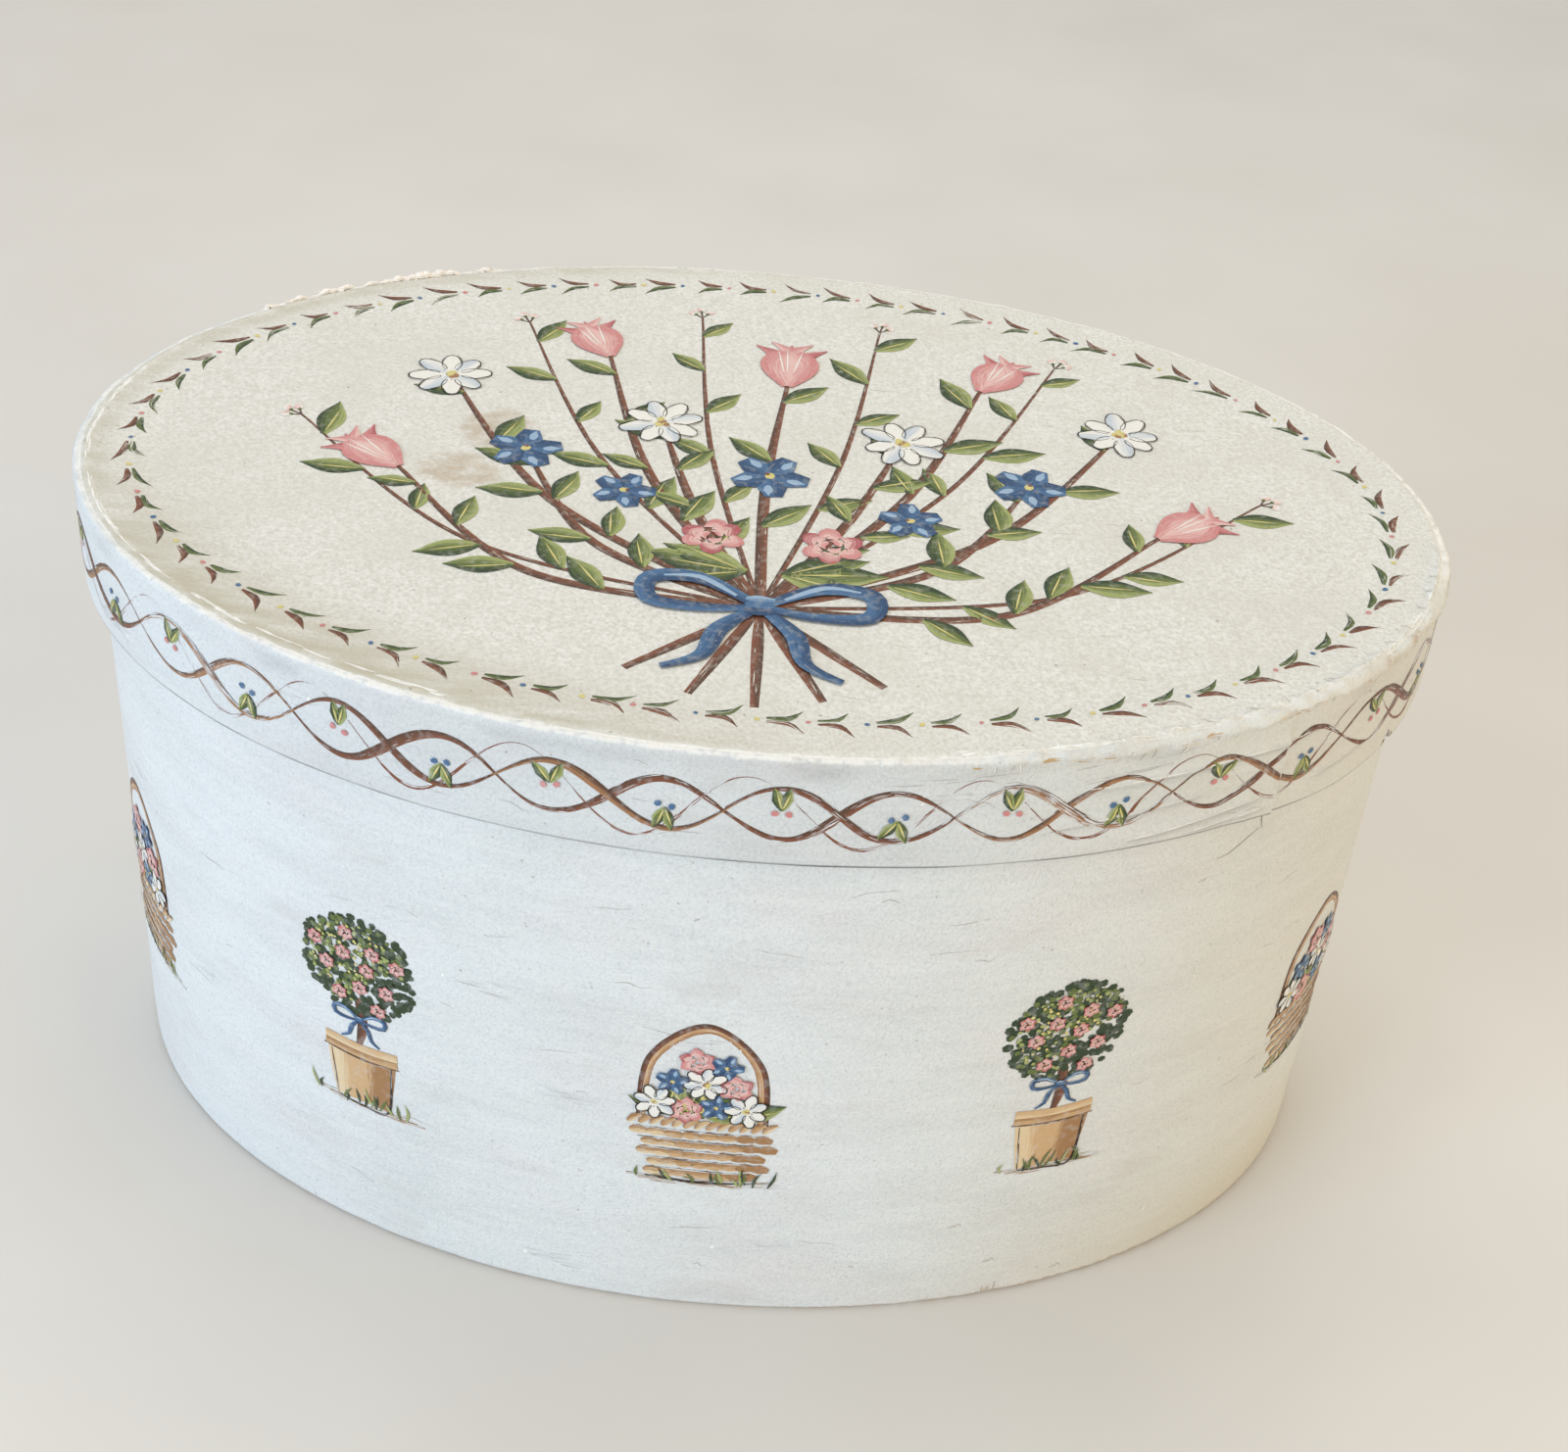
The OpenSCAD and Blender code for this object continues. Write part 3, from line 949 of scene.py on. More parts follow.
def sheet_rub_and_highlight(x, y, z):
    """Whitish marks: the sheet's cut edge all round, partly rubbed and partly a painted highlight, and the
    rubbed ridge of the tabs at the left.
    """
    angle = oval_angle(LID_HALF, x, y)
    inset = (1.0 - oval_share(LID_HALF, x, y)) * math.hypot(*oval_point(LID_HALF, angle))
    ridge = hump(inset - RIDGE_INSET, RIDGE_RUB_WIDTH) * smooth_step(*RIDGE_RUB_RAMP, -x)
    ridge *= smooth_step(-0.35, 0.15, uneven(2.5, x, y, 6.0))
    cut = fade_out(TOP_MARGIN, TOP_MARGIN + CUT_EDGE_WHITE_WIDTH + ripple(CUT_EDGE_WHITE_RIPPLE, x, y, 8.0), inset)
    return max(0.3 * ridge, cut * (1.0 - 0.7 * pinched(angle)))


# Toning of the sheet: where it grows to the left and to the front, and by the share of the oval to the
# edge and to the strip along the ridge
TONED_LEFT, TONED_FRONT = (-40.0, 60.0), (0.0, 50.0)
TONED_EDGE, TONED_STRIP = (0.78, 1.0), (0.93, 0.965)


def sheet_tone(x, y, z):
    """Grey-beige toning at the left: brushed in from the near edge, and in a strip along the tabs' ridge."""
    share = oval_share(LID_HALF, x, y)
    near = smooth_step(*TONED_EDGE, share) * smooth_step(*TONED_FRONT, -y)
    strip = 0.6 * smooth_step(*TONED_STRIP, share)
    return smooth_step(*TONED_LEFT, -x) * max(near, strip)


def lid_liner_top(x, y, inset, angle):
    """The sheet under the lid's board, pasted flat."""
    return LID_LINER_HIGH.z


# How far above the fold's edge the band's lining steps back onto the board
BAND_STEP = 0.3


def band_liner_section(angle):
    """The band's lining, with its unevenly cut edge lapped over the fold of the lower edge."""
    high, lap_high = BAND_LINER_HIGH.z, LID_LOW.z + LID_FOLD
    lapped = BAND_INSET + PAPER
    edge = BAND_LINER_LOW.z + ripple(BAND_CUT, *oval_point(LID_HALF, angle), 0.0)
    outer = [(lapped, edge), (lapped, lap_high), (BAND_INSET, lap_high + BAND_STEP), (BAND_INSET, high)]
    inner = [(BAND_INSET + LINING, high), (BAND_INSET + LINING, lap_high + 2.0 * BAND_STEP)]
    inner += [(lapped + LINING, lap_high), (lapped + LINING, edge)]
    return outer + inner


# Its bright rim line is partly a painted highlight, its right end's tone partly painted warm light, and its
# darkening a dark line and painted shade
lid_band_paper = new_piece(
    "lid_band_paper",
    sweep_round_oval(LID_HALF, stations(BAND_STATIONS, lap_end(LID_HALF, LID_LAP_ANGLE)), lid_band_section),
    WHITE_PAINT, "lid", "painted_paper", "lid_wrap",
    wear=rim_wear, toned=band_tone, rubbed=rim_rub_and_highlight, grime=band_shade_and_dark_line)
new_piece(
    "lid_band_board", sweep_round_oval(LID_HALF, stations(BAND_STATIONS), band_board_section),
    PASTEBOARD, "lid", "pasteboard", "lid_band")
# Its whitened cut edge is partly a painted highlight
lid_top_sheet = new_piece(
    "lid_top_sheet", oval_sheet(LID_HALF, TOP_MARGIN, TOP_RINGS, TOP_STATIONS, lid_top_height, PAPER),
    CREAM_PAPER, "lid", "cream_paper", "lid_top_paper",
    rubbed=sheet_rub_and_highlight, edge_tone=sheet_tone, stain=lid_stain)
new_piece(
    "lid_lining",
    oval_sheet(LID_HALF, BAND_INSET, LID_LINER_RINGS, LINING_STATIONS, lid_liner_top,
               LID_LINER_HIGH.z - LID_LINER_LOW.z),
    LINING_PAPER, "lid", "lining_paper", "lid_liner")
new_piece(
    "lid_band_lining", sweep_round_oval(LID_HALF, stations(LINING_STATIONS), band_liner_section),
    LINING_PAPER, "lid", "lining_paper", "lid_band_liner")

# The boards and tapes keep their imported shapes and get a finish
BOARD_FINISHES = {"side_wall": PASTEBOARD, "floor_board": PASTEBOARD, "lid_board": PASTEBOARD,
                  "side_tape": TAPE, "lid_tape": TAPE}
for board, finish in BOARD_FINISHES.items():
    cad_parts[board].data.materials.clear()
    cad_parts[board].data.materials.append(finish)


# The painted decoration: brush strokes planned on a flat sheet, then laid onto the box

UMBER, RED_BROWN, DARK_BROWN, LIGHT_BROWN = "#5A4032", "#83513A", "#33251E", "#A87B56"
TAN, PALE_TAN, DARK_TAN = "#D3AF82", "#E6CFA8", "#A67C52"
OLIVE, DARK_GREEN, PALE_GREEN, STRAW = "#66743F", "#33442C", "#A3AC6B", "#DCCF84"
PETAL_WHITE, PETAL_SHADE, INK = "#F3F1E9", "#C9D3DC", "#2B2622"
BLUE, DARK_BLUE, PALE_BLUE = "#4C7199", "#2F4C70", "#9DB8D2"
PINK, DEEP_PINK, PALE_PINK = "#D38B89", "#B45F63", "#EBC3BB"
# Marks of age: besides cracks, rubs, scuffs and chips, these greys and white also draw painted shade and
# painted highlight on folds, creases and crinkles
CRACK_AND_SHADE_GREY, RUB_AND_SHADE_GREY, SCUFF_GREY, CREASE_SHADE_AND_CRACK_GREY = "#A9A49B", "#C3C1BD", "#B9B6AA", "#8C877C"
CHIP_AND_HIGHLIGHT_WHITE, FOLD_SHADE_AND_SCUFF_GREY, KRAFT_TINT = "#FBFBF6", "#CCC8BD", "#C4A67C"

# The two sides of a design that is the same left and right
LEFT, RIGHT = -1.0, 1.0


def lay_stroke(sheet, path, widths, paint, coat, edge=None, dry=0.0):
    """One stroke: its path, half widths, the colours on the two sides of the brush, and how dry it runs."""
    sheet.append((path, widths, linear(paint), linear(edge or paint), coat, dry))


def ahead(point, heading, distance):
    """The point at a distance from another along a heading in degrees."""
    turn = math.radians(heading)
    return point[0] + distance * math.cos(turn), point[1] + distance * math.sin(turn)


def heading_of(run):
    """Degrees of the way that a run takes."""
    return math.degrees(math.atan2(run.y, run.x))


def bowed(start, end, bend):
    """Three knots of a run that bows to its left by bend millimetres."""
    start, end = Vector(start), Vector(end)
    run = end - start
    side = Vector((-run.y, run.x)).normalized()
    return [start, (start + end) / 2.0 + side * bend, end]


def smooth_path(knots, step=0.9):
    """Points about every step millimetres on a smooth curve through the knots."""
    ends = [knots[0], *knots, knots[-1]]
    path = []
    for k in range(len(knots) - 1):
        before, start, end, after = (Vector(p) for p in ends[k:k + 4])
        count = max(2, round((end - start).length / step))
        for s in (i / count for i in range(count)):
            bend = (2.0 * before - 5.0 * start + 4.0 * end - after) * s * s
            twist = (3.0 * start - before - 3.0 * end + after) * s * s * s
            path.append(0.5 * (2.0 * start + (end - before) * s + bend + twist))
    path.append(Vector(knots[-1]))
    return path


def pressed(count, full, start=0.4, end=0.06):
    """Half widths of a stroke that is set down, pressed out and drawn off to a point."""
    widths = []
    for s in (i / (count - 1) for i in range(count)):
        grown = start + (1.0 - start) * smooth_step(0.0, 0.4, s)
        widths.append(full * grown * (1.0 - (1.0 - end) * smooth_step(0.45, 1.0, s)))
    return widths


def comma(sheet, start, end, bend, width, paint, coat, edge=None, dry=0.0, step=0.9, lift_off=0.06):
    """A single pressed stroke that bows to its left by bend millimetres."""
    path = smooth_path(bowed(start, end, bend), step)
    lay_stroke(sheet, path, pressed(len(path), width, end=lift_off), paint, coat, edge, dry)


def petal(sheet, centre, heading, near, far, width, paint, coat, edge=None, **brush):
    """A straight pressed stroke along a heading, between two distances from a centre."""
    ends = ahead(centre, heading, near), ahead(centre, heading, far)
    comma(sheet, *ends, 0.0, width, paint, coat, edge, **brush)


def dab(sheet, at, size, paint, coat, edge=None):
    """A touch of the brush tip."""
    turn = random.uniform(0.0, 360.0)
    path = [Vector(ahead(at, turn, d * size)) for d in (-0.75, 0.0, 0.75)]
    lay_stroke(sheet, path, [size * 0.45, size * 0.75, size * 0.35], paint, coat, edge)


def line(sheet, knots, width, paint, coat, edge=None, dry=0.0, step=1.2, end=0.4):
    """A drawn line of nearly even width through the knots."""
    path = smooth_path(knots, step)
    lay_stroke(sheet, path, pressed(len(path), width, 0.55, end), paint, coat, edge, dry)


def leaf(sheet, base, heading, length, coat):
    """Two pressed strokes side by side, dark and light, and a pale vein."""
    tip = ahead(base, heading + random.uniform(-6.0, 6.0), length)
    full = length * 0.12
    comma(sheet, base, tip, length * 0.1, full, OLIVE, coat, DARK_GREEN)
    comma(sheet, base, tip, -length * 0.1, full, PALE_GREEN, coat, OLIVE)
    petal(sheet, base, heading, length * 0.1, length * 0.8, 0.16, STRAW, coat + 1)


def daisy(sheet, centre, size, coat, petals=8):
    """White outlined petals round a straw-yellow eye."""
    first = random.uniform(0.0, 360.0)
    half_wide = size * 1.9 / petals
    for k in range(petals):
        heading = first + 360.0 * k / petals + random.uniform(-5.0, 5.0)
        reach = size * random.uniform(0.9, 1.06)
        shade = PETAL_SHADE if k % 2 else None
        petal(sheet, centre, heading, reach * 0.12, reach, half_wide, PETAL_WHITE, coat, shade, lift_off=0.5)
        middle = ahead(centre, heading, reach * 0.62)
        rim = []
        for turn in range(-150, 151, 25):
            along = reach * 0.42 * math.cos(math.radians(turn))
            aside = half_wide * 1.05 * math.sin(math.radians(turn))
            rim.append(Vector(ahead(ahead(middle, heading, along), heading + 90.0, aside)))
        lay_stroke(sheet, rim, pressed(len(rim), 0.13, 0.6, 0.4), INK, coat + 1, dry=0.15)
    for k in range(6):
        at = ahead(centre, random.uniform(0.0, 360.0), random.uniform(0.0, size * 0.16))
        dab(sheet, at, size * 0.13, STRAW if k % 3 else LIGHT_BROWN, coat + 2)
    for k in range(5):
        dab(sheet, ahead(centre, first + 72.0 * k, size * 0.27), 0.16, INK, coat + 2)


def blue_flower(sheet, centre, size, coat):
    """Five round touches of blue, paler at the tips, with a yellow eye."""
    first = random.uniform(0.0, 360.0)
    for k in range(5):
        heading = first + 72.0 * k
        petal(sheet, centre, heading, size * 0.1, size * 0.95, size * 0.36, BLUE, coat, DARK_BLUE,
              lift_off=0.6, step=0.7)
        light = ahead(centre, heading - 12.0, size * 0.45), ahead(centre, heading - 8.0, size * 0.9)
        comma(sheet, *light, 0.0, size * 0.12, PALE_BLUE, coat + 1, step=0.7)
    dab(sheet, centre, size * 0.17, STRAW, coat + 1)
    dab(sheet, ahead(centre, first, size * 0.1), size * 0.08, RED_BROWN, coat + 2)


def tulip(sheet, base, heading, size, coat):
    """A cup of five pink strokes, dark behind and pale in front."""
    petals = ((24.0, 0.2, 0.95, DEEP_PINK, PINK, 0), (-24.0, -0.2, 0.95, DEEP_PINK, PINK, 0),
              (0.0, 0.0, 0.92, PINK, DEEP_PINK, 0), (13.0, 0.26, 1.0, PINK, PALE_PINK, 1),
              (-13.0, -0.26, 1.0, PALE_PINK, PINK, 1))
    for spread, bend, reach, paint, edge, up in petals:
        tip = ahead(base, heading + spread, size * reach)
        comma(sheet, base, tip, -bend * size, size * 0.17, paint, coat + up, edge)
    for spread in (-9.0, 3.0, 10.0):
        petal(sheet, base, heading + spread, size * 0.3, size * 0.85, 0.15, PETAL_WHITE, coat + 2)


def rosette(sheet, centre, size, coat):
    """A small round pink bloom of curled strokes."""
    for k in range(6):
        heading = 60.0 * k + random.uniform(-10.0, 10.0)
        curl = ahead(centre, heading, size * 0.55), ahead(centre, heading + 75.0, size * 0.6)
        comma(sheet, *curl, -size * 0.3, size * 0.34, PINK if k % 2 else DEEP_PINK, coat, PALE_PINK, step=0.6)
    for k in range(3):
        heading = 120.0 * k
        curl = ahead(centre, heading, size * 0.25), ahead(centre, heading + 110.0, size * 0.3)
        comma(sheet, *curl, -size * 0.15, size * 0.16, PALE_PINK, coat + 1, PINK, step=0.5)


def ribbon_bow(sheet, centre, size, coat):
    """Two loops, two tails and a knot, in blue with pale lights."""
    def spot(across, up):
        """A place across and up from the knot, by the bow's size."""
        return centre[0] + across * size, centre[1] + up * size

    for side in (LEFT, RIGHT):
        tail = [centre, spot(side * 0.3, -0.35), spot(side * 0.42, -0.75), spot(side * 0.72, -0.95)]
        line(sheet, tail, size * 0.085, BLUE, coat, DARK_BLUE)
        loop = [centre, spot(side * 0.5, 0.34), spot(side * 0.92, 0.3), spot(side * 0.9, -0.02),
                spot(side * 0.45, -0.08), centre]
        line(sheet, loop, size * 0.09, BLUE, coat + 1, DARK_BLUE, end=0.5)
        glint = [spot(side * 0.2, 0.13), spot(side * 0.52, 0.36), spot(side * 0.82, 0.34)]
        line(sheet, glint, size * 0.03, PALE_BLUE, coat + 2)
    for rise, paint, edge in ((-0.07, DARK_BLUE, None), (0.02, BLUE, None), (0.1, BLUE, PALE_BLUE)):
        ends = spot(-0.12, rise), spot(0.12, rise)
        comma(sheet, *ends, 0.0, size * 0.06, paint, coat + 2, edge, lift_off=0.5)


# Degrees by which a leaf stands off its stem, and the range of a leaf's length
LEAF_TURN = 48.0
LEAF_LENGTHS = (8.0, 11.5)


def leafy_stem(sheet, start, end, bend, width, leaves, coat):
    """A brown stem with leaves set left and right in turn."""
    path = smooth_path(bowed(start, end, bend), 1.2)
    lay_stroke(sheet, path, pressed(len(path), width, 1.0, 0.45), RED_BROWN, coat, UMBER, dry=0.12)
    for k in range(leaves):
        i = round((0.35 + 0.55 * k / max(leaves - 1, 1)) * (len(path) - 2))
        heading = heading_of(path[i + 1] - path[i]) + (LEAF_TURN if k % 2 else -LEAF_TURN)
        leaf(sheet, path[i], heading, random.uniform(*LEAF_LENGTHS), coat + 1)


def dotted_sprig(sheet, start, end, bend, coat):
    """A thin stem that ends in a few pale buds."""
    leafy_stem(sheet, start, end, bend, 0.5, 5, coat)
    heading = heading_of(Vector(end) - Vector(start))
    for turn, reach in ((0.0, 3.2), (38.0, 2.6), (-38.0, 2.6)):
        bud = ahead(end, heading + turn, reach)
        line(sheet, [end, bud], 0.2, UMBER, coat, step=0.8)
        dab(sheet, bud, 1.1, PETAL_WHITE, coat + 2, PALE_PINK)
        dab(sheet, ahead(bud, heading + turn + 180.0, 0.8), 0.45, OLIVE, coat + 3)


# The spray on the lid: where it is tied, and its stems' ends, across from the tie and up from the middle
BOUQUET_TIE = (2.0, -40.0)
STEM_FEET = ((-19.0, -59.0), (-9.0, -64.0), (1.0, -66.0), (11.0, -63.0), (20.0, -58.0))

# Its sprigs, across, up and with their bend; and its flowers on stems, with their size before that
SPRIGS = ((82.0, 6.0, 13.0), (50.0, 47.0, 6.0), (17.0, 56.0, 3.0))
FLOWERS = ((tulip, 15.0, 64.0, -9.0, 13.0), (daisy, 7.2, 60.0, 24.0, 9.0), (tulip, 15.0, 34.0, 37.0, 5.0),
           (blue_flower, 6.6, 42.0, 3.0, 9.0), (daisy, 7.2, 20.0, 16.0, 2.0))

# Leaves by the tie, with heading and length; where the middle flower begins; and the coats from the back
TIE_LEAVES = ((150.0, 15.0), (172.0, 17.0), (196.0, 13.0))
MIDDLE_TULIP_UP = 32.0
SPRIG_COAT, STEM_COAT, LEAF_COAT, BLOOM_COAT, BOW_COAT = 0, 1, 2, 4, 8


def lid_bouquet():
    """A tied spray, the same on both sides but for the hand."""
    sheet = []
    tie = BOUQUET_TIE

    def spot(side, across, up):
        """A place to one side of the tie and up from the lid's middle, as near as a hand sets it."""
        return tie[0] + side * across + random.uniform(-1.5, 1.5), up + random.uniform(-1.5, 1.5)

    for across, low in STEM_FEET:
        line(sheet, [tie, (tie[0] + across, low)], 0.95, RED_BROWN, SPRIG_COAT, UMBER, dry=0.15, end=0.7)
    for side in (LEFT, RIGHT):
        for across, up, bend in SPRIGS:
            dotted_sprig(sheet, tie, spot(side, across, up), -side * bend, SPRIG_COAT)
        for flower, size, across, up, bend in FLOWERS:
            end = spot(side, across, up)
            leafy_stem(sheet, tie, end, -side * bend, 0.9, 4, STEM_COAT)
            if flower is tulip:
                tulip(sheet, end, 90.0 - side * across * 0.8, size, BLOOM_COAT)
            else:
                flower(sheet, end, size, BLOOM_COAT)
    middle = (tie[0], MIDDLE_TULIP_UP)
    leafy_stem(sheet, tie, middle, 1.5, 0.95, 3, STEM_COAT)
    tulip(sheet, middle, 90.0, 17.0, BLOOM_COAT)
    blue_flower(sheet, (tie[0] - 1.0, 0.0), 7.0, BLOOM_COAT)
    for side in (LEFT, RIGHT):
        blue_flower(sheet, spot(side, 24.0, -10.0), 5.6, BLOOM_COAT)
        rosette(sheet, spot(side, 9.0, -19.0), 5.0, BLOOM_COAT)
        for heading, length in TIE_LEAVES:
            turn = heading if side == LEFT else 180.0 - heading
            leaf(sheet, (tie[0] + side * 3.0, -30.0), turn, length, LEAF_COAT)
    ribbon_bow(sheet, tie, 19.0, BOW_COAT)
    return sheet


# How far in from the lid's edge the border runs, and how many pairs of strokes it has
BORDER_INSET = 9.0
BORDER_COUNT = 66


def lid_border():
    """A running edge of paired comma strokes and dots."""
    sheet = []
    inner = (LID_HALF[0] - BORDER_INSET, LID_HALF[1] - BORDER_INSET)
    for k, angle in enumerate(even_angles(inner, BORDER_COUNT)):
        at = oval_point(inner, angle + random.uniform(-0.4, 0.4))
        next_x, next_y = oval_point(inner, angle + 1.0)
        heading = math.degrees(math.atan2(next_y - at[1], next_x - at[0]))
        for side, paint, edge in ((1.0, OLIVE, DARK_GREEN), (-1.0, RED_BROWN, UMBER)):
            tip = ahead(at, heading + side * random.uniform(22.0, 34.0), random.uniform(5.2, 7.0))
            comma(sheet, ahead(at, heading + side * 90.0, 0.5), tip, -side * random.uniform(0.6, 1.2),
                  random.uniform(0.5, 0.72), paint, 0, edge, random.uniform(0.0, 0.35))
        dab(sheet, ahead(at, heading, -1.4), random.uniform(0.45, 0.65), (PINK, BLUE, STRAW)[k % 3], 1)
    return sheet


# The plait: how many waves go round the band, how far its strands swing, and how finely they are drawn
SCROLL_WAVES = 18
SCROLL_SWING, THIN_SWING = 4.6, 6.4
KNOTS_A_WAVE = 12

# How far the hand strays from it, and how its pressure changes, each with its grain
SWAY, SWAY_GRAIN = 0.45, 9.0
PRESSURE, PRESSURE_GRAIN = 0.35, 7.0


def band_scroll():
    """A running plait of two brown strands, with a thin third, leaves on the crests and dots in the eyes."""
    sheet = []
    wave = oval_run(LID_HALF) / SCROLL_WAVES
    middle = (LID_LOW.z + LID_HIGH.z) / 2.0

    def strand(start, waves, phase, swing, width, paint, edge, dry, coat):
        """One strand, from its start on for some waves, swinging about the middle of the band."""
        knots = []
        for k in range(int(waves * KNOTS_A_WAVE) + 1):
            x = start + wave * k / KNOTS_A_WAVE
            sway = SWAY * uneven(SWAY_GRAIN, x, SWAY_GRAIN * phase, SWAY_GRAIN * swing)
            knots.append((x, middle + swing * math.sin(2.0 * math.pi * x / wave + phase) + sway))
        path = smooth_path(knots, 0.7)
        widths = []
        for half_width, point in zip(pressed(len(path), width, 0.25, 0.12), path):
            swelling = PRESSURE * uneven(PRESSURE_GRAIN, point.x, PRESSURE_GRAIN * phase, 35.0)
            widths.append(half_width * (1.0 + swelling))
        lay_stroke(sheet, path, widths, paint, coat, edge, dry)

    for k in range(SCROLL_WAVES):
        x = k * wave
        for phase in (0.0, math.pi):
            strand(x + random.uniform(-2.0, 2.0), 1.2, phase, SCROLL_SWING, random.uniform(0.6, 0.85),
                   random.choice((RED_BROWN, LIGHT_BROWN)), UMBER, random.uniform(0.05, 0.4),
                   0 if phase else 1)
        strand(x + wave * 0.3, 0.95, 0.9, THIN_SWING, 0.3, RED_BROWN, None, random.uniform(0.2, 0.5), 0)
        for share, heading in ((0.25, 65.0), (0.25, 115.0), (0.75, -65.0), (0.75, -115.0)):
            rise = SCROLL_SWING if heading > 0.0 else -SCROLL_SWING
            base = (x + wave * share, middle + rise * 0.15)
            leaf(sheet, base, heading + random.uniform(-12.0, 12.0), 4.4, 2)
        for share in (0.22, 0.28, 0.72, 0.78):
            at = (x + wave * share, middle + random.uniform(-0.6, 0.6))
            dab(sheet, at, 0.7, PINK if share < 0.5 else BLUE, 4)
    return sheet


GRASS_BLADES = 13


def ground_line(sheet, x, y, half):
    """A dry shadow and some blades of grass under a pot."""
    for k in range(3):
        ends = [(x - half + k * 2.0, y - 0.3 - 0.5 * k), (x + half + 1.5 * k, y - 0.5 * k)]
        line(sheet, ends, 0.55, LIGHT_BROWN, 0, OLIVE, dry=0.5)
    for k in range(GRASS_BLADES):
        root = (x + random.uniform(-half, half), y - random.uniform(0.2, 1.2))
        tip = ahead(root, random.uniform(58.0, 122.0), random.uniform(2.2, 4.6))
        green = random.choice((OLIVE, DARK_GREEN, PALE_GREEN))
        comma(sheet, root, tip, random.uniform(-0.6, 0.6), 0.28, green, 5)


def clay_pot(sheet, x, y, coat):
    """A tan pot of upright strokes, lit from the left, with a rolled rim."""
    tones = (PALE_TAN, PALE_TAN, TAN, TAN, TAN, DARK_TAN, DARK_TAN)
    for k, paint in enumerate(tones):
        side = k / 3.0 - 1.0
        path = smooth_path([(x + side * 5.6, y + 11.5), (x + side * 4.9, y + 5.0), (x + side * 4.1, y)])
        lay_stroke(sheet, path, [1.15] * len(path), paint, coat, tones[min(k + 1, 6)])
    for rise, paint, edge in ((11.6, TAN, DARK_TAN), (13.0, PALE_TAN, TAN)):
        path = smooth_path([(x - 7.0, y + rise), (x, y + rise - 0.5), (x + 7.0, y + rise)])
        lay_stroke(sheet, path, [0.95] * len(path), paint, coat + 1, edge)
    line(sheet, [(x - 7.4, y + 10.7), (x, y + 10.1), (x + 7.4, y + 10.6)], 0.22, UMBER, coat + 2, dry=0.2)
    foot = [(x + 5.8, y + 10.2), (x + 5.0, y - 0.4), (x, y - 0.9), (x - 4.8, y - 0.5)]
    line(sheet, foot, 0.24, DARK_BROWN, coat + 2, dry=0.15)
    line(sheet, [(x - 4.9, y - 0.4), (x - 5.9, y + 10.2)], 0.16, UMBER, coat + 2, dry=0.35)


# Touches of a tree's crown: colour, how many, how far they reach by its radius, their size and their coat
CROWN_RADIUS = 10.0
CROWN_TOUCHES = ((DARK_GREEN, 300, 1.08, 0.95, 1), (OLIVE, 150, 1.02, 0.65, 3),
                 (PALE_GREEN, 80, 0.92, 0.45, 5), (STRAW, 50, 0.86, 0.36, 6))
CROWN_BLOSSOMS = 11
GOLDEN_ANGLE = 137.5


def clipped_tree(sheet, x, y):
    """A ball-headed tree in a clay pot: stippled greens with straw flecks and pink blossom."""
    ground_line(sheet, x, y, 9.0)
    line(sheet, [(x - 0.4, y + 13.0), (x + 0.5, y + 18.0), (x, y + 24.0)], 1.0, RED_BROWN, 0, UMBER, end=0.9)
    clay_pot(sheet, x, y, 1)
    crown, radius = (x, y + 31.0), CROWN_RADIUS
    for paint, count, reach, size, coat in CROWN_TOUCHES:
        for k in range(count):
            at = ahead(crown, random.uniform(0.0, 360.0), radius * reach * math.sqrt(random.random()))
            from_shade = math.hypot(at[0] - crown[0] - radius, at[1] - crown[1] + radius)
            if paint == DARK_GREEN or from_shade > radius * 1.1:
                dab(sheet, at, size * random.uniform(0.75, 1.3), paint, coat + k % 2)
    for k in range(CROWN_BLOSSOMS):
        at = ahead(crown, GOLDEN_ANGLE * k, radius * 0.92 * math.sqrt((k + 0.5) / CROWN_BLOSSOMS))
        rosette(sheet, at, 1.5, 8)
    ribbon_bow(sheet, (x, y + 19.0), 5.2, 3)


# The flowers in a basket: size, across from its middle and up from its foot
small_daisy = functools.partial(daisy, petals=7)
BASKET_BLOOMS = ((small_daisy, 3.6, -7.4, 17.5), (rosette, 2.9, -2.6, 16.5), (blue_flower, 2.9, 2.6, 17.2),
                 (small_daisy, 3.6, 7.6, 17.2), (blue_flower, 2.9, -5.2, 22.6), (small_daisy, 3.6, 0.4, 22.2),
                 (rosette, 2.9, 5.6, 22.4), (rosette, 2.9, -1.6, 27.0), (blue_flower, 2.9, 3.4, 26.6))
BASKET_ROWS, BASKET_WEAVES, BASKET_PLAITS, BASKET_LEAVES = 5, 8, 13, 17


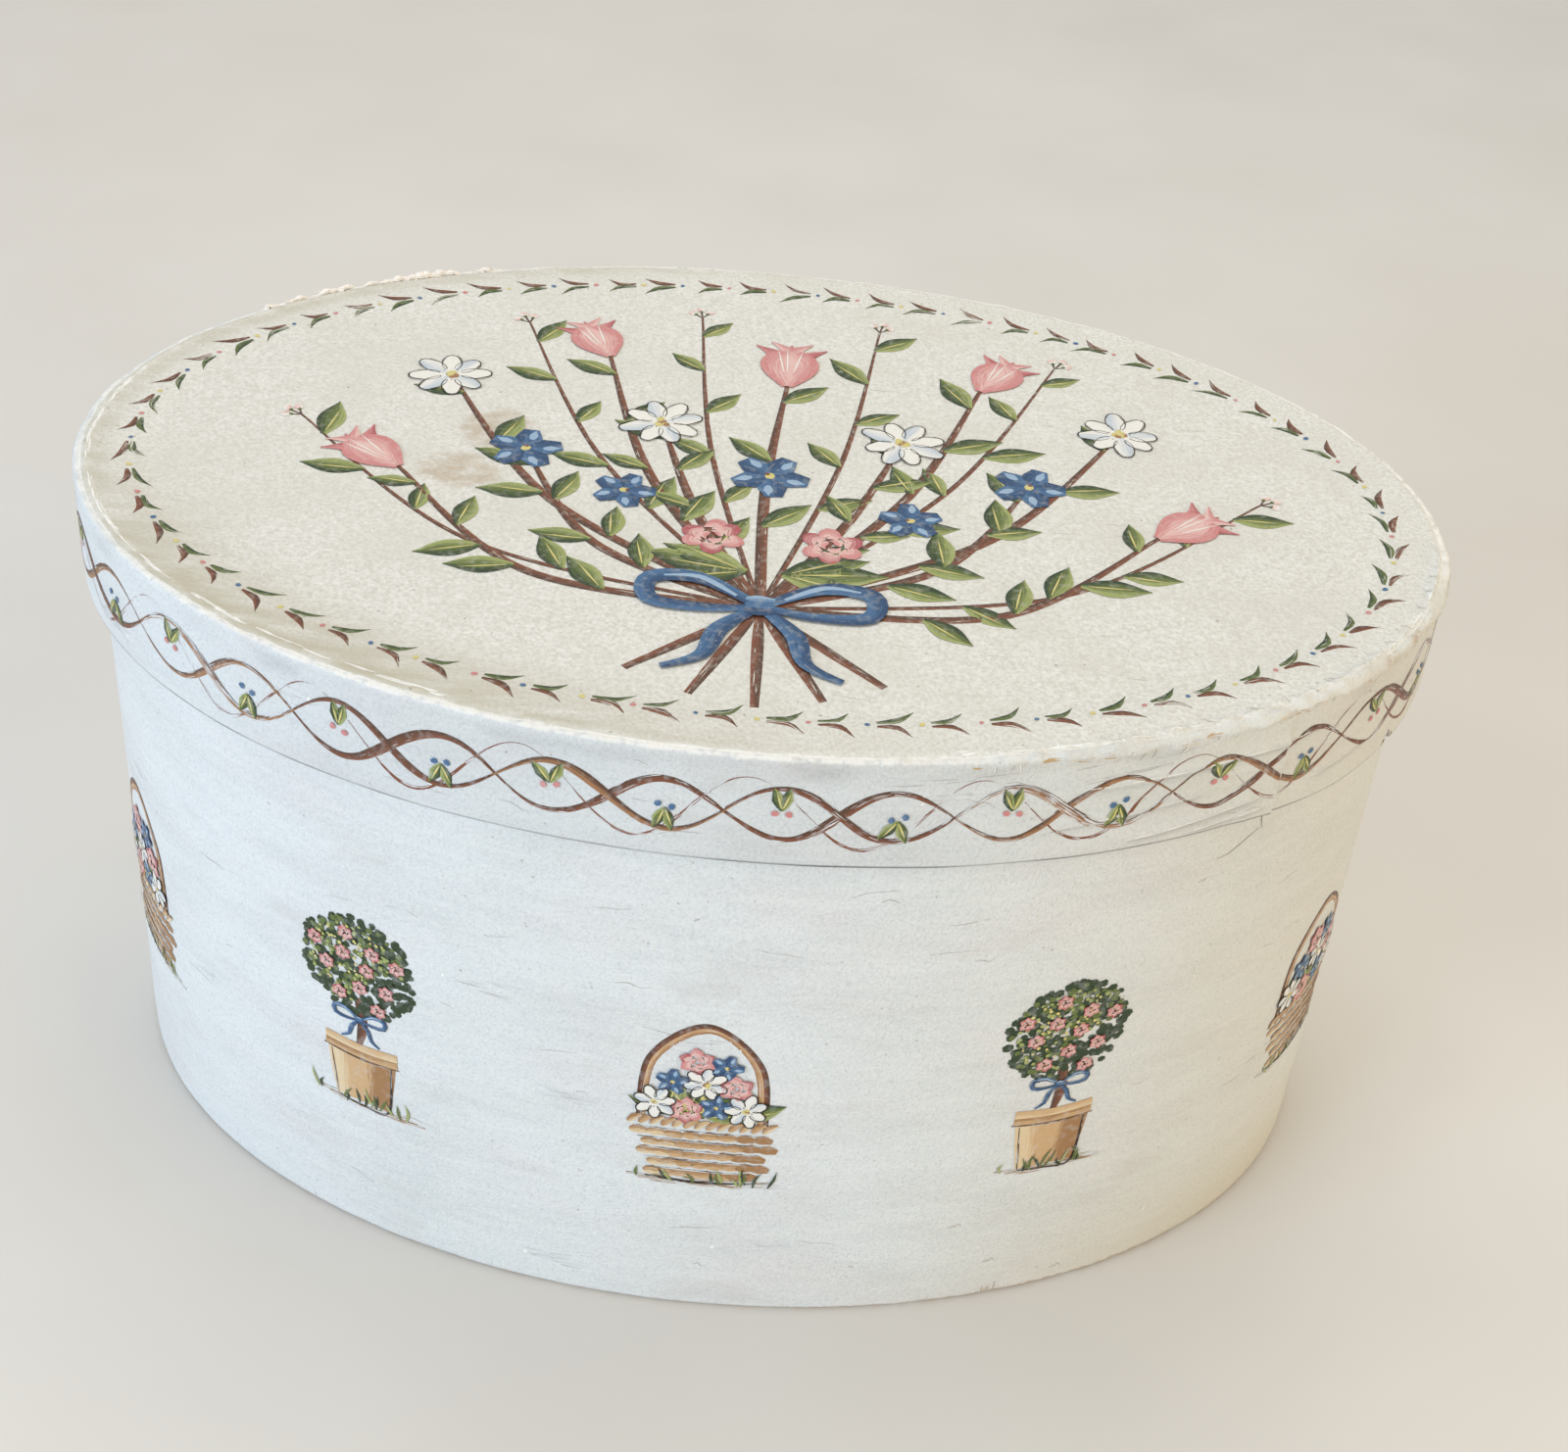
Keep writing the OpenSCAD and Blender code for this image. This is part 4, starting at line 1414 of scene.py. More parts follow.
def flower_basket(sheet, x, y):
    """A woven tan basket with a hooped handle, filled with the flowers of the lid."""
    ground_line(sheet, x, y, 12.0)
    for sway, paint, edge in ((0.0, RED_BROWN, UMBER), (0.9, LIGHT_BROWN, TAN)):
        hoop = [(x - 10.5 + sway, y + 13.0), (x - 9.0 + sway, y + 27.0), (x + sway / 2.0, y + 35.0 - sway),
                (x + 9.0 - sway, y + 27.0), (x + 10.5 - sway, y + 13.0)]
        line(sheet, hoop, 0.6, paint, 0, edge, dry=0.1, end=0.8)
    for row in range(BASKET_ROWS):
        half, low = 8.6 + 0.6 * row, y + 0.9 + row * 2.3
        for k in range(BASKET_WEAVES):
            left = x - half + 2.0 * half * (k + (row % 2) * 0.5 - 0.25) / 7.5
            tone = (PALE_TAN, TAN, TAN, DARK_TAN)[k // 2]
            end = (left + 3.0, low + random.uniform(-0.3, 0.3))
            comma(sheet, (left, low), end, 0.35, 1.05, tone, 1 + row % 2, DARK_TAN, lift_off=0.5)
        line(sheet, [(x - half, low + 1.1), (x + half, low + 1.1)], 0.14, UMBER, 3, dry=0.45)
    for k in range(BASKET_PLAITS):
        left = x - 12.0 + 1.85 * k
        plait = TAN if k % 2 else PALE_TAN
        comma(sheet, (left, y + 12.0), (left + 2.2, y + 14.0), 0.3, 0.7, plait, 4, DARK_TAN, lift_off=0.4)
    line(sheet, [(x - 8.8, y - 0.2), (x, y - 0.7), (x + 8.8, y - 0.2)], 0.26, DARK_BROWN, 3, dry=0.15)
    for k in range(BASKET_LEAVES):
        root = (x + random.uniform(-6.0, 6.0), y + 15.0)
        leaf(sheet, root, 8.0 + 164.0 * k / (BASKET_LEAVES - 1), random.uniform(6.5, 9.5), 4)
    for flower, size, across, up in BASKET_BLOOMS:
        at = (x + across + random.uniform(-0.5, 0.5), y + up + random.uniform(-0.5, 0.5))
        flower(sheet, at, size, 7)


# Trees and baskets together, and the height at which they stand
MOTIF_COUNT = 10
MOTIF_FOOT = 32.0


def motifs_round_side(first, draw):
    """Every second place round the box, from the first, drawn the same way."""
    sheet = []
    spacing = oval_run(BODY_HALF) / MOTIF_COUNT
    for k in range(first, MOTIF_COUNT, 2):
        draw(sheet, spacing * k, MOTIF_FOOT + random.uniform(-0.8, 0.8))
    return sheet


# The marks of age, drawn as strokes too

# Shares of its run at which a wavering mark has its knots; a chip on the ridge has its second a little later
WAVER_SHARES = (0.0, 0.35, 0.7, 1.0)
RIDGE_SHARES = (0.0, 0.4, 0.7, 1.0)

# How many there are of each kind of mark
BAND_CRACKS, BAND_RUBS = 26, 8
SIDE_CRACKS, SIDE_RUBS = 90, 22
NOTCH_DABS = 14
RIDGE_CHIPS, SHEET_SCUFFS = 64, 70
CREST_CHIPS, CREST_CRINKLES = 46, 20
BARED_SPOTS, SHORT_FOLDS, RIM_WRINKLES = 34, 26, 7

# Degrees between which the ridge of the tabs is chipped, and the rim wrinkled
RIDGE_CHIPPED = (166.0, 248.0)
RIM_WRINKLED = (-80.0, -50.0)

# A coat just above the paper itself
THIN_COAT = -0.3


def handling_marks(half, low, high, cracks, rubs):
    """Hairline cracks, grey rubs and pale chips that years of handling left in the white paint."""
    sheet = []
    whole = oval_run(half)
    for k in range(cracks):
        x, y = random.uniform(0.0, whole), random.uniform(low, high)
        run, slope = random.uniform(2.0, 8.0), random.uniform(-0.3, 0.3)
        knots = [(x + run * s, y + run * s * slope + random.uniform(-0.4, 0.4)) for s in WAVER_SHARES]
        line(sheet, knots, random.uniform(0.05, 0.09), CRACK_AND_SHADE_GREY, 0, RUB_AND_SHADE_GREY, dry=0.3, step=0.8)
    for k in range(rubs):
        x, y = random.uniform(0.0, whole), random.uniform(low, high)
        for j in range(random.randint(4, 9)):
            start = (x + random.uniform(-4.0, 4.0), y + random.uniform(-1.5, 1.5))
            end = (start[0] + random.uniform(2.0, 6.0), start[1] + random.uniform(-0.5, 0.5))
            line(sheet, [start, end], random.uniform(0.06, 0.2), RUB_AND_SHADE_GREY, 0, dry=0.55, step=0.8)
        dab(sheet, (x + random.uniform(-9.0, 9.0), y), random.uniform(0.3, 0.6), CHIP_AND_HIGHLIGHT_WHITE, 0)
    return sheet


def torn_notch(sheet):
    """Brown board bared round the notch that is torn in the band's lower edge."""
    for k in range(NOTCH_DABS):
        angle = NOTCH_ANGLE + random.uniform(-1.6, 1.6)
        at = (from_front(LID_HALF, angle), lid_low_edge(angle) + random.uniform(0.5, 1.1))
        dab(sheet, at, random.uniform(0.15, 0.3), random.choice((UMBER, DARK_TAN, LIGHT_BROWN)), 1 + k % 2)


def edge_chips(sheet, count, shares, angles, reaches, insets, waver, widths, step):
    """White chips along the lid's edge, each over some degrees at its own inset."""
    for k in range(count):
        angle, reach, inset = [random.uniform(*limits) for limits in (angles, reaches, insets)]
        knots = []
        for share in shares:
            strayed = inset + random.uniform(-waver, waver)
            knots.append(oval_point(LID_HALF, angle + reach * share, strayed))
        line(sheet, knots, random.uniform(*widths), CHIP_AND_HIGHLIGHT_WHITE, 0, dry=0.3, step=step)


def lid_top_marks():
    """White chips along the ridge of the tabs at the left, and fine scuffs and flecks on the cream sheet.

    Where the edge is pinched, it has a bright broken crest with short crinkles across it, drawn as white
    painted highlight and grey painted shade.
    """
    sheet = []
    edge_chips(sheet, RIDGE_CHIPS, RIDGE_SHARES, RIDGE_CHIPPED, reaches=(0.8, 4.0),
               insets=(RIDGE_INSET - 0.35, RIDGE_INSET + 0.25), waver=0.1, widths=(0.1, 0.28), step=0.6)
    for k in range(SHEET_SCUFFS):
        share = 0.9 * math.sqrt(random.random())
        x, y = (share * c for c in oval_point(LID_HALF, random.uniform(0.0, 360.0)))
        run, slope = random.uniform(1.5, 6.0), random.uniform(-0.12, 0.12)
        if k % 2:
            scuff = [(x, y), (x + run, y + run * slope)]
            line(sheet, scuff, random.uniform(0.05, 0.09), SCUFF_GREY, THIN_COAT, dry=0.5)
        else:
            dab(sheet, (x, y), random.uniform(0.15, 0.35), SCUFF_GREY if k % 6 else CHIP_AND_HIGHLIGHT_WHITE, THIN_COAT)
    edge_chips(sheet, CREST_CHIPS, WAVER_SHARES, PINCHED, reaches=(0.5, 2.6),
               insets=(1.5, 1.9), waver=0.12, widths=(0.07, 0.17), step=0.5)
    # Crinkles across the crest: white painted highlight and grey painted shade, in turn
    for k in range(CREST_CRINKLES):
        angle = random.uniform(*PINCHED)
        start = oval_point(LID_HALF, angle, 1.4)
        end = oval_point(LID_HALF, angle + random.uniform(-1.2, 1.2), 3.4)
        comma(sheet, start, end, random.uniform(-0.2, 0.2), 0.1, CHIP_AND_HIGHLIGHT_WHITE if k % 2 else FOLD_SHADE_AND_SCUFF_GREY, 1)
    return sheet


def pinched_rim_marks():
    """Bared board under the pinched edge; short folds that run down from it, drawn as painted shade and
    painted highlight; wrinkles below it, drawn as painted shade; and on each long fold a painted highlight
    along its crest with painted shade just below.
    """
    sheet = []
    for k in range(BARED_SPOTS):
        x = from_front(LID_HALF, random.uniform(*PINCHED))
        y, run = LID_HIGH.z - random.uniform(0.3, 1.1), random.uniform(0.6, 3.2)
        tint = random.choice((KRAFT_TINT, KRAFT_TINT, PALE_TAN))
        knots = [(x, y), (x + run, y + random.uniform(-0.2, 0.2))]
        line(sheet, knots, random.uniform(0.1, 0.32), tint, 0, dry=0.45, step=0.6)
    # Short folds down from the edge, drawn as grey painted shade and white painted highlight
    for k in range(SHORT_FOLDS):
        x = from_front(LID_HALF, random.uniform(*PINCHED))
        y, drop = LID_HIGH.z - random.uniform(0.4, 1.0), random.uniform(0.8, 2.4)
        foot = (x + random.uniform(-1.2, 0.2), y - drop)
        comma(sheet, (x, y), foot, 0.1, 0.1, RUB_AND_SHADE_GREY if k % 2 else CHIP_AND_HIGHLIGHT_WHITE, 1)
    # Wrinkles below the rim, drawn as lines of grey painted shade
    for k in range(RIM_WRINKLES):
        x, y = from_front(LID_HALF, random.uniform(*RIM_WRINKLED)), LID_HIGH.z - random.uniform(2.2, 6.0)
        run = random.uniform(6.0, 15.0)
        knots = [(x, y), (x + run / 2.0, y + 0.3), (x + run, y + 0.9)]
        line(sheet, knots, 0.12, RUB_AND_SHADE_GREY, 0, dry=0.4, step=1.0)
    # On each long fold: a white painted highlight along its crest and grey painted shade just below it
    for (start, low), (end, high), _, half_wide in BAND_FOLDS:
        crest = []
        for share in (0.1, 0.3, 0.5, 0.7, 0.9):
            x = from_front(LID_HALF, start + (end - start) * share)
            crest.append((x, LID_LOW.z + low + (high - low) * share))
        line(sheet, crest, 0.12, CHIP_AND_HIGHLIGHT_WHITE, 0, dry=0.4)
        line(sheet, [(x, y - half_wide) for x, y in crest], 0.1, CRACK_AND_SHADE_GREY, 0, RUB_AND_SHADE_GREY, dry=0.35)
    return sheet


# A crease in the side's paper below the lid's lap, drawn as a line of painted shade: angle round the oval and
# height
CREASE_END = ((-41.8, 101.5), (-41.6, 99.0), (-41.3, 97.2))
CREASE_SWEEP = ((-41.7, 97.4), (-43.2, 96.0), (-45.1, 94.2), (-46.4, 93.9))

# A long chip and some scuffs near the foot: angle and height; and cracks in the knock: shift and reach
CHIP = (-45.2, 11.0)
SCUFFS = ((-55.5, 4.0), (-63.0, 9.6), (-67.0, 20.0))
DENT_CRACKS = ((-1.6, 1.4), (-0.4, 1.0), (0.7, 2.2))


def side_creases(sheet):
    """A line of painted shade for the crease below the lap; near the foot one long chip, some scuffs
    and cracks in the knock.
    """
    for knots, width in ((CREASE_END, 0.14), (CREASE_SWEEP, 0.12)):
        crease = [(from_front(BODY_HALF, angle), height) for angle, height in knots]
        line(sheet, crease, width, CREASE_SHADE_AND_CRACK_GREY, 0)
    x, y = from_front(BODY_HALF, CHIP[0]), CHIP[1]
    comma(sheet, (x, y), (x + 0.7, y + 1.6), 0.1, 0.22, CHIP_AND_HIGHLIGHT_WHITE, 1)
    for angle, height in SCUFFS:
        x = from_front(BODY_HALF, angle)
        for shift in (-0.7, 0.0, 0.8):
            scuff = (x + shift, height + 0.4 * shift), (x + shift + 0.9, height - 0.5)
            comma(sheet, *scuff, 0.2, 0.3, RUB_AND_SHADE_GREY, THIN_COAT, FOLD_SHADE_AND_SCUFF_GREY, dry=0.3)
    x, foot = from_front(BODY_HALF, DENT_ANGLE), SIDE_LOW.z + EDGE_ROUND
    for shift, reach in DENT_CRACKS:
        line(sheet, [(x + shift, foot), (x + shift + 0.2, foot + reach)], 0.1, CREASE_SHADE_AND_CRACK_GREY, 0, KRAFT_TINT)


# Laying strokes onto the box

# How far a coat stands above the one below it, and how many coats above the paper the first lies
COAT = 0.04
FIRST_COAT = 0.6

# How far a stroke swells: by this share of its half width, but no more than this
STROKE_SWELL_SHARE = 0.1
STROKE_SWELL = 0.03

# How far off the plain oval a stroke looks for the surface
SEARCH_REACH = 8.0

# Sides of a stroke, of the torn lip and of a torn sliver
STROKE_SIDES, LIP_SIDES, SLIVER_SIDES = 6, 7, 5

STROKE_INPUTS = (("Surface", "Object"), ("Oval Half Length", "Float"), ("Oval Half Width", "Float"),
                 ("Lid Height", "Float"), ("Swell", "Float"), ("Reach", "Float"), ("Paint", "Material"))


def geometry_tree(name, inputs):
    """A new tree with its named inputs, a way to add its nodes, and what it is given."""
    tree = bpy.data.node_groups.new(name, "GeometryNodeTree")
    for label, kind in (("Geometry", "Geometry"), *inputs):
        tree.interface.new_socket(label, in_out="INPUT", socket_type="NodeSocket" + kind)
    tree.interface.new_socket("Geometry", in_out="OUTPUT", socket_type="NodeSocketGeometry")
    add = functools.partial(node, tree)
    return tree, add, add("NodeGroupInput", out="all")


def run_tree(plan, tree, settings):
    """What the tree makes of a plan, as a plain mesh; the plan goes."""
    modifier = plan.modifiers.new("tree", "NODES")
    modifier.node_group = tree
    for socket in tree.interface.items_tree:
        if socket.name in settings:
            modifier[socket.identifier] = settings[socket.name]
    bpy.context.view_layer.update()
    graph = bpy.context.evaluated_depsgraph_get()
    made = plan.evaluated_get(graph)
    mesh = bpy.data.meshes.new_from_object(made, preserve_all_data_layers=True, depsgraph=graph)
    bpy.data.objects.remove(plan)
    return mesh


def oval_curve(add, given, start):
    """An oval of the given half sizes, as a curve that starts at an angle in radians."""
    circle = add("GeometryNodeCurvePrimitiveCircle", {"Resolution": OVAL_STEPS, "Radius": 1.0})
    circle = add("GeometryNodeTransform", {"Geometry": circle, "Rotation": (0.0, 0.0, start)})
    size = add("ShaderNodeCombineXYZ", {0: given["Oval Half Length"], 1: given["Oval Half Width"], 2: 1.0})
    return add("GeometryNodeTransform", {"Geometry": circle, "Scale": size})


def place_on_wall(add, given, x, y):
    """Where a point of the flat sheet lies on the wall, x round it from the front, and which way is out."""
    oval = oval_curve(add, given, -math.pi / 2.0)
    whole = add("GeometryNodeCurveLength", {0: oval})
    round_it = add("ShaderNodeMath", {0: x, 1: whole}, operation="FLOORED_MODULO")
    found = add("GeometryNodeSampleCurve", {"Curves": oval, "Length": round_it}, "all",
                mode="LENGTH", use_all_curves=True)
    along_and_up = {0: found["Tangent"], 1: (0.0, 0.0, 1.0)}
    outward = add("ShaderNodeVectorMath", along_and_up, operation="CROSS_PRODUCT")
    outward = add("ShaderNodeVectorMath", {0: outward}, operation="NORMALIZE")
    above = add("ShaderNodeCombineXYZ", {2: y})
    place = add("ShaderNodeVectorMath", {0: found["Position"], 1: above}, operation="ADD")
    return place, outward


def place_on_lid(add, given, x, y):
    """Where a point of the flat sheet lies on the lid's top, and which way is out there."""
    place = add("ShaderNodeCombineXYZ", {0: x, 1: y, 2: given["Lid Height"]})
    return place, add("ShaderNodeCombineXYZ", {2: 1.0})


def stroke_tree(name, find_place):
    """Lines become domed strokes, and each point of a stroke drops onto the surface that carries it."""
    tree, add, given = geometry_tree(name, STROKE_INPUTS)
    x, y, _ = add("ShaderNodeSeparateXYZ", {0: add("GeometryNodeInputPosition")}, "all")
    stored = {}
    for label in ("half_width", "lift", "rise"):
        stored[label] = add("GeometryNodeInputNamedAttribute", {"Name": label}, data_type="FLOAT")

    # A flat ring whose points know where they lie across the stroke and how high they rise
    ring = add("GeometryNodeCurvePrimitiveCircle", {"Resolution": STROKE_SIDES, "Radius": 1.0})
    for label, value in (("across", x), ("rise", y)):
        kept = {"Geometry": ring, "Name": label, "Value": value}
        ring = add("GeometryNodeStoreNamedAttribute", kept, data_type="FLOAT")
    ring = add("GeometryNodeSetPosition", {"Geometry": ring, "Position": add("ShaderNodeCombineXYZ", {0: x})})
    lines = add("GeometryNodeMeshToCurve", {"Mesh": given["Geometry"]})
    lines = add("GeometryNodeSetCurveNormal", {"Curve": lines}, mode="Z_UP")
    run = add("GeometryNodeSplineParameter", out="Length")
    kept = {"Geometry": lines, "Name": "along", "Value": run}
    lines = add("GeometryNodeStoreNamedAttribute", kept, data_type="FLOAT")
    swept = {"Curve": lines, "Profile Curve": ring, "Scale": stored["half_width"], "Fill Caps": True}
    shape = add("GeometryNodeCurveToMesh", swept)
    shape = add("GeometryNodeFlipFaces", {"Mesh": shape})
    dome = add("ShaderNodeMath", {0: stored["half_width"], 1: STROKE_SWELL_SHARE}, operation="MULTIPLY")
    dome = add("ShaderNodeMath", {0: dome, 1: given["Swell"]}, operation="MINIMUM")
    height = add("ShaderNodeMath", {0: stored["rise"], 1: dome, 2: stored["lift"]}, operation="MULTIPLY_ADD")

    # From outside, each point looks for the surface and settles just above it
    place, outward = find_place(add, given, x, y)
    far = add("ShaderNodeVectorMath", {0: outward, "Scale": given["Reach"]}, operation="SCALE")
    inward = add("ShaderNodeVectorMath", {0: outward, "Scale": -1.0}, operation="SCALE")
    start = add("ShaderNodeVectorMath", {0: place, 1: far}, operation="ADD")
    target = add("GeometryNodeObjectInfo", {"Object": given["Surface"]}, "Geometry")
    search = add("ShaderNodeMath", {0: given["Reach"], 1: 2.0}, operation="MULTIPLY")
    ray = {"Target Geometry": target, "Source Position": start, "Ray Direction": inward, "Ray Length": search}
    hit = add("GeometryNodeRaycast", ray, "all")
    found_or_plain = {"Switch": hit["Is Hit"], "False": place, "True": hit["Hit Position"]}
    landed = add("GeometryNodeSwitch", found_or_plain, input_type="VECTOR")
    above = add("ShaderNodeVectorMath", {0: outward, "Scale": height}, operation="SCALE")
    settled = add("ShaderNodeVectorMath", {0: landed, 1: above}, operation="ADD")
    shape = add("GeometryNodeSetPosition", {"Geometry": shape, "Position": settled})
    shape = add("GeometryNodeRealizeInstances", {"Geometry": shape})
    shape = add("GeometryNodeSetMaterial", {"Geometry": shape, "Material": given["Paint"]})
    add("NodeGroupOutput", {0: shape})
    return tree


def new_plan(name, points, edges):
    """A mesh of lines for a tree to work on."""
    mesh = bpy.data.meshes.new(name)
    mesh.from_pydata(points, edges, [])
    plan = bpy.data.objects.new(name, mesh)
    bpy.context.scene.collection.objects.link(plan)
    return plan


# Each stroke starts its bristle marks at another place, a step further on a round of places
SEED_STEP, SEED_ROUND = 0.37, 40.0


def stroke_plan(name, sheet):
    """The strokes as lines in a flat mesh that carries each point's width, colours, coat and dryness."""
    points, edges = [], []
    columns = {"half_width": [], "lift": [], "dry": [], "seed": []}
    paints = {"paint": [], "paint_edge": []}
    for number, (path, widths, paint, edge, coat, dry) in enumerate(sheet):
        first = len(points)
        for (x, y), half_width in zip(path, widths):
            points.append((x * MM, y * MM, 0.0))
            columns["half_width"].append(half_width * MM)
            columns["lift"].append((coat + FIRST_COAT) * COAT * MM)
            columns["dry"].append(dry)
            columns["seed"].append(number * SEED_STEP % SEED_ROUND)
            paints["paint"] += paint
            paints["paint_edge"] += edge
        edges += [(k, k + 1) for k in range(first, len(points) - 1)]
    plan = new_plan(name, points, edges)
    for label, values in columns.items():
        plan.data.attributes.new(label, "FLOAT", "POINT").data.foreach_set("value", values)
    for label, values in paints.items():
        plan.data.attributes.new(label, "FLOAT_COLOR", "POINT").data.foreach_set("color", values)
    return plan


def lay_painting(name, sheet, tree, surface, half, material, body, slot):
    """A sheet of strokes laid onto a surface, as one piece."""
    settings = {"Surface": surface, "Oval Half Length": half[0] * MM, "Oval Half Width": half[1] * MM,
                "Lid Height": LID_HIGH.z * MM, "Swell": STROKE_SWELL * MM, "Reach": SEARCH_REACH * MM,
                "Paint": material}
    mesh = run_tree(stroke_plan(name + "_plan", sheet), tree, settings)
    mesh.name = name
    return finish_piece(name, mesh, body)


ON_LID = stroke_tree("strokes_on_lid", place_on_lid)
ON_WALL = stroke_tree("strokes_round_wall", place_on_wall)

# What is painted on: the tree that lays strokes there, the piece, its oval, the paint, the body and the slot
LID_TOP = (ON_LID, lid_top_sheet, LID_HALF, PAINT_ON_CREAM, "lid", "cream_paper")
LID_BAND = (ON_WALL, lid_band_paper, LID_HALF, PAINT_ON_WHITE, "lid", "painted_paper")
BOX_SIDE = (ON_WALL, side_paper, BODY_HALF, PAINT_ON_WHITE, "box", "painted_paper")

band_marks = handling_marks(LID_HALF, LID_LOW.z + 2.0, LID_HIGH.z - 2.0, BAND_CRACKS, BAND_RUBS)
torn_notch(band_marks)
side_marks = handling_marks(BODY_HALF, SIDE_LOW.z + 5.0, LID_LOW.z - 3.0, SIDE_CRACKS, SIDE_RUBS)
side_creases(side_marks)
side_trees = motifs_round_side(1, clipped_tree)
side_baskets = motifs_round_side(0, flower_basket)

lay_painting("lid_bouquet", lid_bouquet(), *LID_TOP)
lay_painting("lid_border", lid_border(), *LID_TOP)
lay_painting("lid_band_marks", band_marks, *LID_BAND)
lay_painting("lid_band_scroll", band_scroll(), *LID_BAND)
lay_painting("side_marks", side_marks, *BOX_SIDE)
lay_painting("side_trees", side_trees, *BOX_SIDE)
lay_painting("side_baskets", side_baskets, *BOX_SIDE)
lay_painting("lid_top_marks", lid_top_marks(), *LID_TOP)
lay_painting("lid_rim_marks", pinched_rim_marks(), *LID_BAND)


# The torn edge of the lid's paper

TORN_INPUTS = (("Oval Half Length", "Float"), ("Oval Half Width", "Float"), ("Height", "Float"),
               ("Start", "Float"), ("End", "Float"), ("Lip Points", "Int"), ("Lip Size", "Float"),
               ("Lip Grain", "Float"), ("Count", "Int"), ("Scatter", "Float"), ("Sliver Length", "Float"),
               ("Sliver Width", "Float"), ("Seed", "Int"), ("Paper", "Material"))

# How far in from the lid's edge the tear runs; points along its lip, half its thickness, and its lumps' grain
TORN_INSET = 0.6
LIP_POINTS = 260
LIP_SIZE, LIP_GRAIN = 0.75, 5.0

# The slivers: how many, their length and half width, and how far they stray
SLIVER_COUNT = 40
SLIVER_LENGTH, SLIVER_WIDTH = 1.9, 0.36
SLIVER_SCATTER = 0.55

# Their ranges: how they scatter, how they lean and turn in radians, and their size against the plain one
SCATTER_RANGE = {0: (-1.0, -1.0, -0.5), 1: (1.0, 1.0, 0.5)}
TURN_RANGE = {0: (-0.5, -0.5, -3.1), 1: (0.5, 0.5, 3.1)}
SIZE_RANGE = {0: (0.4, 0.5, 0.4), 1: (1.0, 1.4, 1.6)}


def torn_edge_tree():
    """A lumpy lip of broken paper along a stretch of the lid's edge, and slivers that stand out of it."""
    tree, add, given = geometry_tree("torn_edge", TORN_INPUTS)
    edge = oval_curve(add, given, 0.0)
    height = add("ShaderNodeCombineXYZ", {2: given["Height"]})
    edge = add("GeometryNodeTransform", {"Geometry": edge, "Translation": height})
    stretch = {"Curve": edge, "Start": given["Start"], "End": given["End"]}
    edge = add("GeometryNodeTrimCurve", stretch, mode="FACTOR")

    # The lip: a lumpy ridge that swells and shrinks along the edge
    spot = {0: add("GeometryNodeInputPosition"), "Scale": given["Lip Grain"]}
    spot = add("ShaderNodeVectorMath", spot, operation="SCALE")
    lumps = add("ShaderNodeTexNoise", {"Vector": spot, "Scale": 1.0, "Detail": 3.0, "Roughness": 0.7})
    girth = add("ShaderNodeMapRange", {0: lumps, 1: 0.44, 2: 0.66, 3: 0.1, 4: 1.0})
    rise = add("ShaderNodeMath", {0: girth, 1: given["Lip Size"]}, operation="MULTIPLY")
    lip = add("GeometryNodeResampleCurve", {"Curve": edge, "Count": given["Lip Points"]}, mode="COUNT")
    lip = add("GeometryNodeSetPosition", {"Geometry": lip, "Offset": add("ShaderNodeCombineXYZ", {2: rise})})
    ring = add("GeometryNodeCurvePrimitiveCircle", {"Resolution": LIP_SIDES, "Radius": given["Lip Size"]})
    swept = {"Curve": lip, "Profile Curve": ring, "Scale": girth, "Fill Caps": True}
    lip = add("GeometryNodeCurveToMesh", swept)

    # The slivers, each strewn and turned its own way
    spots = add("GeometryNodeCurveToPoints", {"Curve": edge, "Count": given["Count"]}, "all", mode="COUNT")
    drawn = []
    for limits in (SCATTER_RANGE, TURN_RANGE, SIZE_RANGE):
        seeded = {**limits, "Seed": given["Seed"]}
        drawn.append(add("FunctionNodeRandomValue", seeded, data_type="FLOAT_VECTOR"))
    stray, turn, scale = drawn
    stray = add("ShaderNodeVectorMath", {0: stray, "Scale": given["Scatter"]}, operation="SCALE")
    points = add("GeometryNodeSetPosition", {"Geometry": spots["Points"], "Offset": stray})
    sliver = {"Vertices": SLIVER_SIDES, "Radius Top": 0.0, "Radius Bottom": given["Sliver Width"],
              "Depth": given["Sliver Length"]}
    sliver = add("GeometryNodeMeshCone", sliver)
    turn = add("FunctionNodeRotateRotation", {0: spots["Rotation"], 1: turn}, rotation_space="LOCAL")
    strewn = {"Points": points, "Instance": sliver, "Rotation": turn, "Scale": scale}
    torn = add("GeometryNodeInstanceOnPoints", strewn)
    torn = add("GeometryNodeJoinGeometry", {0: [lip, torn]})
    torn = add("GeometryNodeRealizeInstances", {"Geometry": torn})
    torn = add("GeometryNodeSetMaterial", {"Geometry": torn, "Material": given["Paper"]})
    add("NodeGroupOutput", {0: torn})
    return tree


